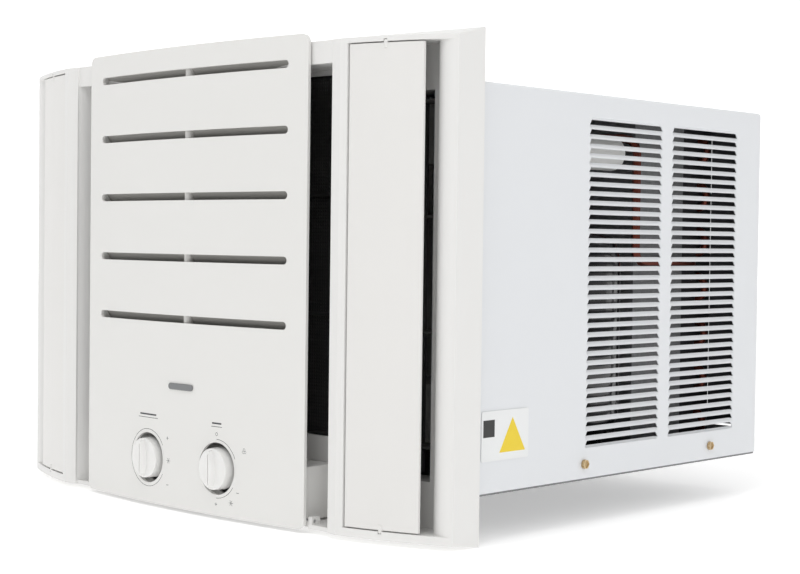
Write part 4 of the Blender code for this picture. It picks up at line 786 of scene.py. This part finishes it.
# ---------------------------------------------------------------- knobs
def make_knob(node, body):
    low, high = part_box(node)
    x = (low.x + high.x) / 2
    radius = (high.x - low.x) / 2
    seat = low.y + 0.0050  # face of the disc
    disc = rod(node + "_moulding", (x, high.y, KNOB_Z), (x, seat, KNOB_Z), radius, 72, radius * 0.965)
    pick(disc, "FACE", lambda at, normal: normal.y < -0.9 and abs(at.y - seat) < 1e-5)
    bpy.ops.mesh.inset(thickness=radius * 0.10)
    bpy.ops.transform.translate(value=(0, -0.0006, 0))
    done()
    grip = rod("grip", (x, seat + 0.002, KNOB_Z), (x, low.y, KNOB_Z), radius * 0.93, 64)
    pick_all(grip)
    bpy.ops.transform.resize(value=(0.34, 1, 1), center_override=(x, seat, KNOB_Z))
    done()
    pick(grip, "FACE", lambda at, normal: normal.y < -0.9)
    bpy.ops.transform.resize(value=(0.42, 1, 0.90), center_override=(x, seat, KNOB_Z))
    done()
    apply(grip, "BEVEL", width=0.0011, segments=3, limit_method="ANGLE", angle_limit=math.radians(35))
    boolean(disc, grip, "UNION")
    reach = radius * 0.70
    groove_low = (x - 0.0005, low.y - 0.002, KNOB_Z - reach)
    groove = block("groove", groove_low, (x + 0.0005, low.y + 0.0012, KNOB_Z + reach))
    boolean(disc, groove)
    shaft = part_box("temperature_shaft" if x < 0 else "mode_shaft")
    boolean(disc, rod("bore", (x, high.y + 0.002, KNOB_Z), (x, shaft[0].y - 0.0005, KNOB_Z), 0.0033, 32))
    soften(disc, 0.0007, 3, 32.0)
    weigh(disc)
    finish_piece(disc, body, KNOB_PLASTIC, node, slot="knob_plastic")


# ---------------------------------------------------------------- vanes, blades and links
def make_outlets():
    for side in ("left", "right"):
        vane = node_copy(side + "_vane", 0.0005, 2)
        weigh(vane)
        finish_piece(vane, side + "_vane", VANE_PLASTIC, side + "_vane", slot="vane_plastic")
        for row in range(1, 5):
            name = side + "_blade_" + str(row)
            # the blades' near black is painted shade of the outlet throat
            blade = node_copy(name, 0.0004, 2)
            finish_piece(blade, name, BLADE_PAINTED_SHADE, name)
        link = node_copy(side + "_blade_link", 0.0003, 1)
        finish_piece(link, side + "_link", GUIDE_GREY, side + "_blade_link")


# ---------------------------------------------------------------- filter
def make_filter():
    rim = node_copy("filter_frame", 0.0005, 1)
    finish_piece(rim, "filter", FILTER_BLACK, "filter_frame", slot="filter_black")
    net = node_copy("filter_mesh", 0.0, 1)
    finish_piece(net, "filter", FILTER_MESH, "filter_mesh")


# ---------------------------------------------------------------- cabinet
def ease(value):
    value = min(1.0, max(0.0, value))
    return value * value * (3 - 2 * value)


def louvre_cell():
    """One pitch of a louvre column on the right side: an opening between two half slats."""
    ramp = [LOUVRE_RAMP * share for share in (0.0, 0.2, 0.45, 0.7, 1.0)]
    long = LOUVRE_W + 2 * LOUVRE_RAMP
    inner = [LOUVRE_RAMP + LOUVRE_W * share / 4 for share in range(1, 4)]
    stations = [-LOUVRE_EDGE] + ramp + inner + [long - at for at in reversed(ramp)] + [long + LOUVRE_EDGE]
    rows = 6
    deselect()
    bpy.ops.mesh.primitive_grid_add(x_subdivisions=len(stations) - 1, y_subdivisions=rows - 1, size=1)
    cell = bpy.context.object
    cell.name = "louvre_cell"
    half_bar = (LOUVRE_PITCH - LOUVRE_OPEN) / 2
    for vert in cell.data.vertices:
        column = round((vert.co.x + 0.5) * (len(stations) - 1))
        row = round((0.5 - vert.co.y) * (rows - 1))
        at = stations[column]
        rise = ease(min(at, long - at) / LOUVRE_RAMP)
        shut = LOUVRE_TOP - LOUVRE_OPEN
        upper = shut + LOUVRE_OPEN * rise
        levels = (
            (LOUVRE_TOP + half_bar, -SLAT_LEAN * 0.42),
            ((LOUVRE_TOP + half_bar + upper) / 2, -SLAT_LEAN * 0.18),
            (upper, 0.0),
            (shut + 0.0003 * rise, -SLAT_LEAN),
            (shut - half_bar / 2, -SLAT_LEAN * 0.72),
            (shut - half_bar, -SLAT_LEAN * 0.42),
        )
        z, lean = levels[row]
        vert.co = (cabinet_high.x + lean * rise, LOUVRE_Y - LOUVRE_RAMP + at, z)
    pick(cell, "FACE", lambda at, normal: False)  # face mode, with nothing picked yet
    bpy.ops.object.mode_set(mode="OBJECT")
    columns = len(stations) - 1
    for index, face in enumerate(cell.data.polygons):
        row = index // columns
        column = index % columns
        middle_row = rows - 2 - row == 2
        face.select = middle_row and 1 <= column < columns - 1
    bpy.ops.object.mode_set(mode="EDIT")
    bpy.ops.mesh.delete(type="FACE")
    bpy.ops.mesh.select_all(action="SELECT")
    bpy.ops.mesh.remove_doubles(threshold=0.00001)
    done()
    return cell


def make_cabinet():
    low = cabinet_low
    high = cabinet_high
    shell = block("cabinet_sheet", low, high)
    pick(shell, "FACE", lambda at, normal: normal.z < -0.9 or normal.y < -0.9)
    bpy.ops.mesh.delete(type="FACE")
    done()
    pick(shell, "FACE", lambda at, normal: normal.y > 0.9)
    bpy.ops.mesh.inset(thickness=0.010)
    bpy.ops.mesh.delete(type="FACE")
    done()
    pick(shell, "FACE", lambda at, normal: normal.y > 0.9 and at.z < low.z + 0.02)
    bpy.ops.mesh.delete(type="FACE")
    done()
    field_low = LOUVRE_BOTTOM - LOUVRE_OPEN - (LOUVRE_PITCH - LOUVRE_OPEN) / 2
    field_high = LOUVRE_TOP + (LOUVRE_PITCH - LOUVRE_OPEN) / 2
    ends = []
    for column in (0, 1):
        start = LOUVRE_Y + LOUVRE_STEP * column - LOUVRE_RAMP - LOUVRE_EDGE
        ends.append((start, start + LOUVRE_W + 2 * LOUVRE_RAMP + 2 * LOUVRE_EDGE))
    cuts = [((0, y, 0), (0, 1, 0)) for pair in ends for y in pair]
    cuts += [((0, 0, field_low), (0, 0, 1)), ((0, 0, field_high), (0, 0, 1))]
    for point, normal in cuts:
        pick(shell, "FACE", lambda at, facing: abs(facing.x) > 0.9)
        bpy.ops.mesh.bisect(plane_co=point, plane_no=normal)
        done()
    pick(
        shell,
        "FACE",
        lambda at, normal: abs(normal.x) > 0.9
        and field_low < at.z < field_high
        and any(first < at.y < last for first, last in ends),
    )
    bpy.ops.mesh.delete(type="FACE")
    done()
    corner = high.x - 0.0001
    pick(
        shell,
        "EDGE",
        lambda at, along: (abs(at.x) > corner and at.z > high.z - 0.0001)
        or (at.y > high.y - 0.0001 and (abs(at.x) > corner or at.z > high.z - 0.0001)),
    )
    bpy.ops.mesh.bevel(offset=0.0035, segments=4, affect="EDGES")
    done()

    cell = louvre_cell()
    apply(
        cell,
        "ARRAY",
        count=LOUVRE_ROWS,
        use_relative_offset=False,
        use_constant_offset=True,
        constant_offset_displace=(0, 0, -LOUVRE_PITCH),
    )
    pick(cell, "VERT", lambda at: at.z > field_high - 0.00005 or at.z < field_low + 0.00005)
    bpy.ops.transform.resize(value=(0, 1, 1), center_override=(high.x, 0, 0))
    done()
    apply(
        cell,
        "ARRAY",
        count=2,
        use_relative_offset=False,
        use_constant_offset=True,
        constant_offset_displace=(0, LOUVRE_STEP, 0),
    )
    apply(cell, "MIRROR", use_axis=(True, False, False), use_mirror_merge=False)
    merge(shell, cell)
    outward(shell, 0.00002)
    centre = Vector((0, (low.y + high.y) / 2, high.z / 2))
    facing = sum((face.center - centre).dot(face.normal) * face.area for face in shell.data.polygons)
    if facing < 0:
        pick_all(shell)
        bpy.ops.mesh.flip_normals()
        done()
    apply(shell, "SOLIDIFY", thickness=SHEET * 0.75, offset=-1.0, use_even_offset=False)
    smooth(shell, 40.0)
    finish_piece(shell, "chassis", SHEET_PAINT, "cabinet_shell", slot="cabinet_white_paint")


def make_screws():
    for number in (1, 2, 3, 4):
        name = "cabinet_screw_" + str(number)
        low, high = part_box(name)
        sign = 1 if low.x > 0 else -1
        y = (low.y + high.y) / 2
        z = (low.z + high.z) / 2
        tip = high.x if sign > 0 else low.x
        root = low.x if sign > 0 else high.x
        head = tip - sign * 0.0026
        across = high.z - low.z
        hexagon = rod("hex_" + name, (head, y, z), (tip, y, z), across / 2, 6)
        dish = rod("dish", (tip + sign * 0.001, y, z), (tip - sign * 0.0007, y, z), across * 0.34, 32)
        boolean(hexagon, dish)
        slot = block("slot", (tip - 0.0013, y - 0.0004, z - 0.0028), (tip + 0.0013, y + 0.0004, z + 0.0028))
        boolean(hexagon, slot)
        washer = rod("washer", (head, y, z), (head + sign * 0.0006, y, z), across * 0.49, 36)
        boolean(hexagon, washer, "UNION")
        boolean(hexagon, rod("shank", (root, y, z), (head + sign * 0.0003, y, z), 0.0019, 20), "UNION")
        soften(hexagon, 0.0002, 2)
        finish_piece(hexagon, "chassis", ZINC, name, slot="yellow_zinc")


def make_label():
    low, high = label_low, label_high
    plate = block("sticker", low, (low.x + 0.00025, high.y, high.z))
    pick(plate, "EDGE", lambda at, along: abs(along.x) > 0.0001 and max(abs(along.y), abs(along.z)) < 1e-6)
    bpy.ops.mesh.bevel(offset=0.0016, segments=4, affect="EDGES")
    done()
    finish_piece(plate, "chassis", LABEL_WHITE, "side_label", slot="label_white")
    top = low.x + 0.00025
    dark_low = (top, low.y + 0.002, high.z - 0.0205)
    dark = block("sticker_dark_block", dark_low, (top + 0.00008, low.y + 0.0155, high.z - 0.0070))
    soften(dark, 0.00002, 1)
    finish_piece(dark, "chassis", LABEL_DARK)
    middle = Vector((top, high.y - 0.0198, low.z + 0.0151))
    patch = rod("sticker_yellow_patch", middle, middle + Vector((0.00008, 0, 0)), 0.0182, 3)
    pick_all(patch)
    peak = max((patch.matrix_world @ vert.co - middle for vert in patch.data.vertices), key=lambda arm: arm.z)
    lean = math.atan2(peak.y, peak.z)
    bpy.ops.transform.rotate(value=-lean, orient_axis="X", center_override=middle)
    done()
    soften(patch, 0.00002, 1)
    finish_piece(patch, "chassis", LABEL_YELLOW)


# ---------------------------------------------------------------- coils
def make_coil(node, fins_material, half, pitch_count, bend_radius, bend_y):
    """A fin pack between its end plates, with copper bends at both ends."""
    low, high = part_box(node)
    fins = block(node + "_fins", (-half, low.y, low.z), (half, high.y, high.z))
    pick(fins, "FACE", lambda at, normal: abs(normal.x) > 0.9)
    bpy.ops.mesh.inset(thickness=0.0002)
    done()
    finish_piece(fins, "chassis", fins_material, node, slot="coil_aluminium")
    plates = []
    for sign in (-1, 1):
        inside = (sign * half, low.y + 0.0004, low.z)
        plate = block(node + "_plate", inside, (sign * (half + 0.0012), high.y - 0.0004, high.z))
        plates.append(plate)
    plate = merge(*plates)
    plate.name = node + "_end_plates"
    soften(plate, 0.0003, 1)
    finish_piece(plate, "chassis", END_PLATE)
    reach = high.x - half
    pitch = (high.z - low.z) / pitch_count
    deselect()
    foot = (half, bend_y, low.z + pitch / 2 - pitch * 0.25)
    bpy.ops.mesh.primitive_circle_add(vertices=10, radius=bend_radius, fill_type="NGON", location=foot)
    bend = bpy.context.object
    bend.name = node + "_bends"
    bend.rotation_euler = (0, math.radians(90), 0)
    settle(bend)
    pick_all(bend)
    spin(10, 180, (half, bend_y, low.z + pitch / 2), (0, -1, 0))
    done()
    sideways = max(vert.co.x for vert in bend.data.vertices)
    if sideways < half + 0.002:
        raise ValueError("a coil bend was spun inwards")
    squeeze = (reach - 0.0002) / (sideways - half)
    pick_all(bend)
    bpy.ops.transform.resize(value=(min(1.0, squeeze), 1, 1), center_override=(half, 0, 0))
    done()
    apply(
        bend,
        "ARRAY",
        count=pitch_count,
        use_relative_offset=False,
        use_constant_offset=True,
        constant_offset_displace=(0, 0, pitch),
    )
    apply(bend, "MIRROR", use_axis=(True, False, False), use_mirror_merge=False)
    outward(bend)
    smooth(bend, 50.0)
    finish_piece(bend, "chassis", COPPER)


def make_coils():
    condenser_bend_y = coil_low.y + 0.62 * (coil_high.y - coil_low.y)
    evaporator_bend_y = (evap_low.y + evap_high.y) / 2
    make_coil("condenser_coil", CONDENSER_FINS, coil_high.x - 0.0130, 7, 0.0040, condenser_bend_y)
    make_coil("evaporator_coil", EVAPORATOR_FINS, evap_high.x - 0.0130, 6, 0.0038, evaporator_bend_y)


# ---------------------------------------------------------------- what stays as packed, with rounded edges
PLAIN = (
    ("control_box", "chassis", BEZEL_PLASTIC, 0.0006, 2, 30),
    ("base_pan", "chassis", GALVANISED, 0.0004, 2, 30),
    # the rear guard's near black is painted shade
    ("rear_guard", "chassis", GUARD_PAINTED_SHADE, 0.0003, 1, 30),
    ("air_guide", "chassis", GUIDE_GREY, 0.0004, 1, 30),
    ("blower_scroll", "chassis", FOAM, 0.0010, 2, 30),
    ("bulkhead", "chassis", GALVANISED, 0.0003, 1, 30),
    ("fan_shroud", "chassis", GALVANISED, 0.0004, 1, 30),
    ("motor_bracket", "chassis", GALVANISED, 0.0004, 1, 30),
    ("fan_motor", "chassis", MOTOR_STEEL, 0.0012, 3, 30),
    ("thermostat", "chassis", SWITCH_BLACK, 0.0004, 1, 30),
    ("mode_switch", "chassis", SWITCH_BLACK, 0.0004, 1, 30),
    ("compressor", "chassis", COMPRESSOR_BLACK, 0.0006, 2, 40),
    ("accumulator", "chassis", COMPRESSOR_BLACK, 0.0030, 4, 40),
    ("filter_drier", "chassis", COPPER, 0.0020, 3, 40),
    ("run_capacitor", "chassis", CAPACITOR_WHITE, 0.0012, 3, 40),
    ("compressor_grommet_1", "chassis", RUBBER, 0.0012, 2, 40),
    ("compressor_grommet_2", "chassis", RUBBER, 0.0012, 2, 40),
    ("compressor_grommet_3", "chassis", RUBBER, 0.0012, 2, 40),
    ("suction_tube", "chassis", COPPER, 0.0, 1, 50),
    ("discharge_tube", "chassis", COPPER, 0.0, 1, 50),
    ("condenser_outlet_tube", "chassis", COPPER, 0.0, 1, 50),
    ("capillary_tube", "chassis", COPPER, 0.0, 1, 50),
    ("accumulator_elbow", "chassis", COPPER, 0.0, 1, 50),
    ("panel_hinge_pin_left", "chassis", STEEL, 0.0002, 1, 40),
    ("panel_hinge_pin_right", "chassis", STEEL, 0.0002, 1, 40),
    ("blower_wheel", "fan_rotor", FAN_BLACK, 0.0, 1, 40),
    ("condenser_fan", "fan_rotor", FAN_BLACK, 0.0, 1, 40),
    ("fan_shaft", "fan_rotor", STEEL, 0.0004, 2, 40),
    ("temperature_shaft", "temperature_knob", STEEL, 0.0003, 1, 40),
    ("mode_shaft", "mode_knob", STEEL, 0.0003, 1, 40),
)


def make_plain_nodes():
    for node, body, material, width, segments, angle in PLAIN:
        piece = node_copy(node, width, segments, angle)
        finish_piece(piece, body, material, node)


# ---------------------------------------------------------------- studio
SKY_LIGHT = 0.50  # the world's light; the sky itself shows white


def make_studio():
    scene = bpy.context.scene
    scene.view_settings.view_transform = "Standard"
    world = bpy.data.worlds.new("studio")
    scene.world = world
    world.use_nodes = True
    world.node_tree.nodes["Background"].inputs["Color"].default_value = (1.0, 1.0, 1.0, 1.0)
    sky = world.node_tree.nodes["Background"].inputs["Strength"]
    seen = world.node_tree.nodes.new("ShaderNodeLightPath").outputs["Is Camera Ray"]
    white = math_node(world.node_tree, "MULTIPLY", seen, 1.0 - SKY_LIGHT)
    world.node_tree.links.new(math_node(world.node_tree, "ADD", white, SKY_LIGHT), sky)

    deselect()
    floor_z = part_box("front_bezel")[0].z - 0.0005
    bpy.ops.mesh.primitive_plane_add(size=14, location=(0, 0, floor_z))
    floor = bpy.context.object
    floor.name = "studio_floor"
    pale, shader = new_material("studio_white")
    shader.inputs["Base Color"].default_value = (0.95, 0.95, 0.95, 1.0)
    shader.inputs["Roughness"].default_value = 0.9
    shader.inputs["Emission Color"].default_value = (1.0, 1.0, 1.0, 1.0)
    shader.inputs["Emission Strength"].default_value = 0.35
    floor.data.materials.append(pale)
    pick(floor, "EDGE", lambda at, along: at.y > 6 or at.x < -6)
    bpy.ops.mesh.extrude_region_move(TRANSFORM_OT_translate={"value": (0, 0, 7)})
    done()

    target = Vector((0.05, 0.10, 0.16))
    lamps = (
        ("key", (0.3, -3.0, 1.6), 2.2, 1.0),
        ("front_top", (0.7, -0.95, 1.45), 0.7, 5.2),
        ("side", (2.7, -0.6, 2.5), 2.0, 13.0),
        ("top", (0.2, -0.1, 2.2), 1.4, 9.0),
    )
    for name, place, size, power in lamps:
        data = bpy.data.lights.new(name, "AREA")
        data.size = size
        data.energy = power
        lamp = bpy.data.objects.new(name, data)
        lamp.location = place
        lamp.rotation_euler = (target - Vector(place)).to_track_quat("-Z", "Y").to_euler()
        scene.collection.objects.link(lamp)

    azimuth = math.radians(44.06)
    elevation = math.radians(1.70)
    roll = 0.0125
    back = Vector(
        (
            math.sin(azimuth) * math.cos(elevation),
            -math.cos(azimuth) * math.cos(elevation),
            math.sin(elevation),
        )
    )
    right = (-back).cross(Vector((0, 0, 1))).normalized()
    up = right.cross(-back)
    turned_right = right * math.cos(roll) + up * math.sin(roll)
    turned_up = -right * math.sin(roll) + up * math.cos(roll)
    data = bpy.data.cameras.new("camera")
    data.lens = 73.16
    data.sensor_width = 36.0
    data.clip_start = 0.02
    camera = bpy.data.objects.new("camera", data)
    rotation = Matrix((turned_right, turned_up, back)).transposed()
    camera.matrix_world = Matrix.Translation((1.1021, -0.9393, 0.2002)) @ rotation.to_4x4()
    scene.collection.objects.link(camera)
    scene.camera = camera


make_bezel()
make_panel()
make_badge()
make_prints()
make_knob("temperature_knob", "temperature_knob")
make_knob("mode_knob", "mode_knob")
make_outlets()
make_filter()
make_cabinet()
make_screws()
make_label()
make_coils()
make_plain_nodes()
make_studio()
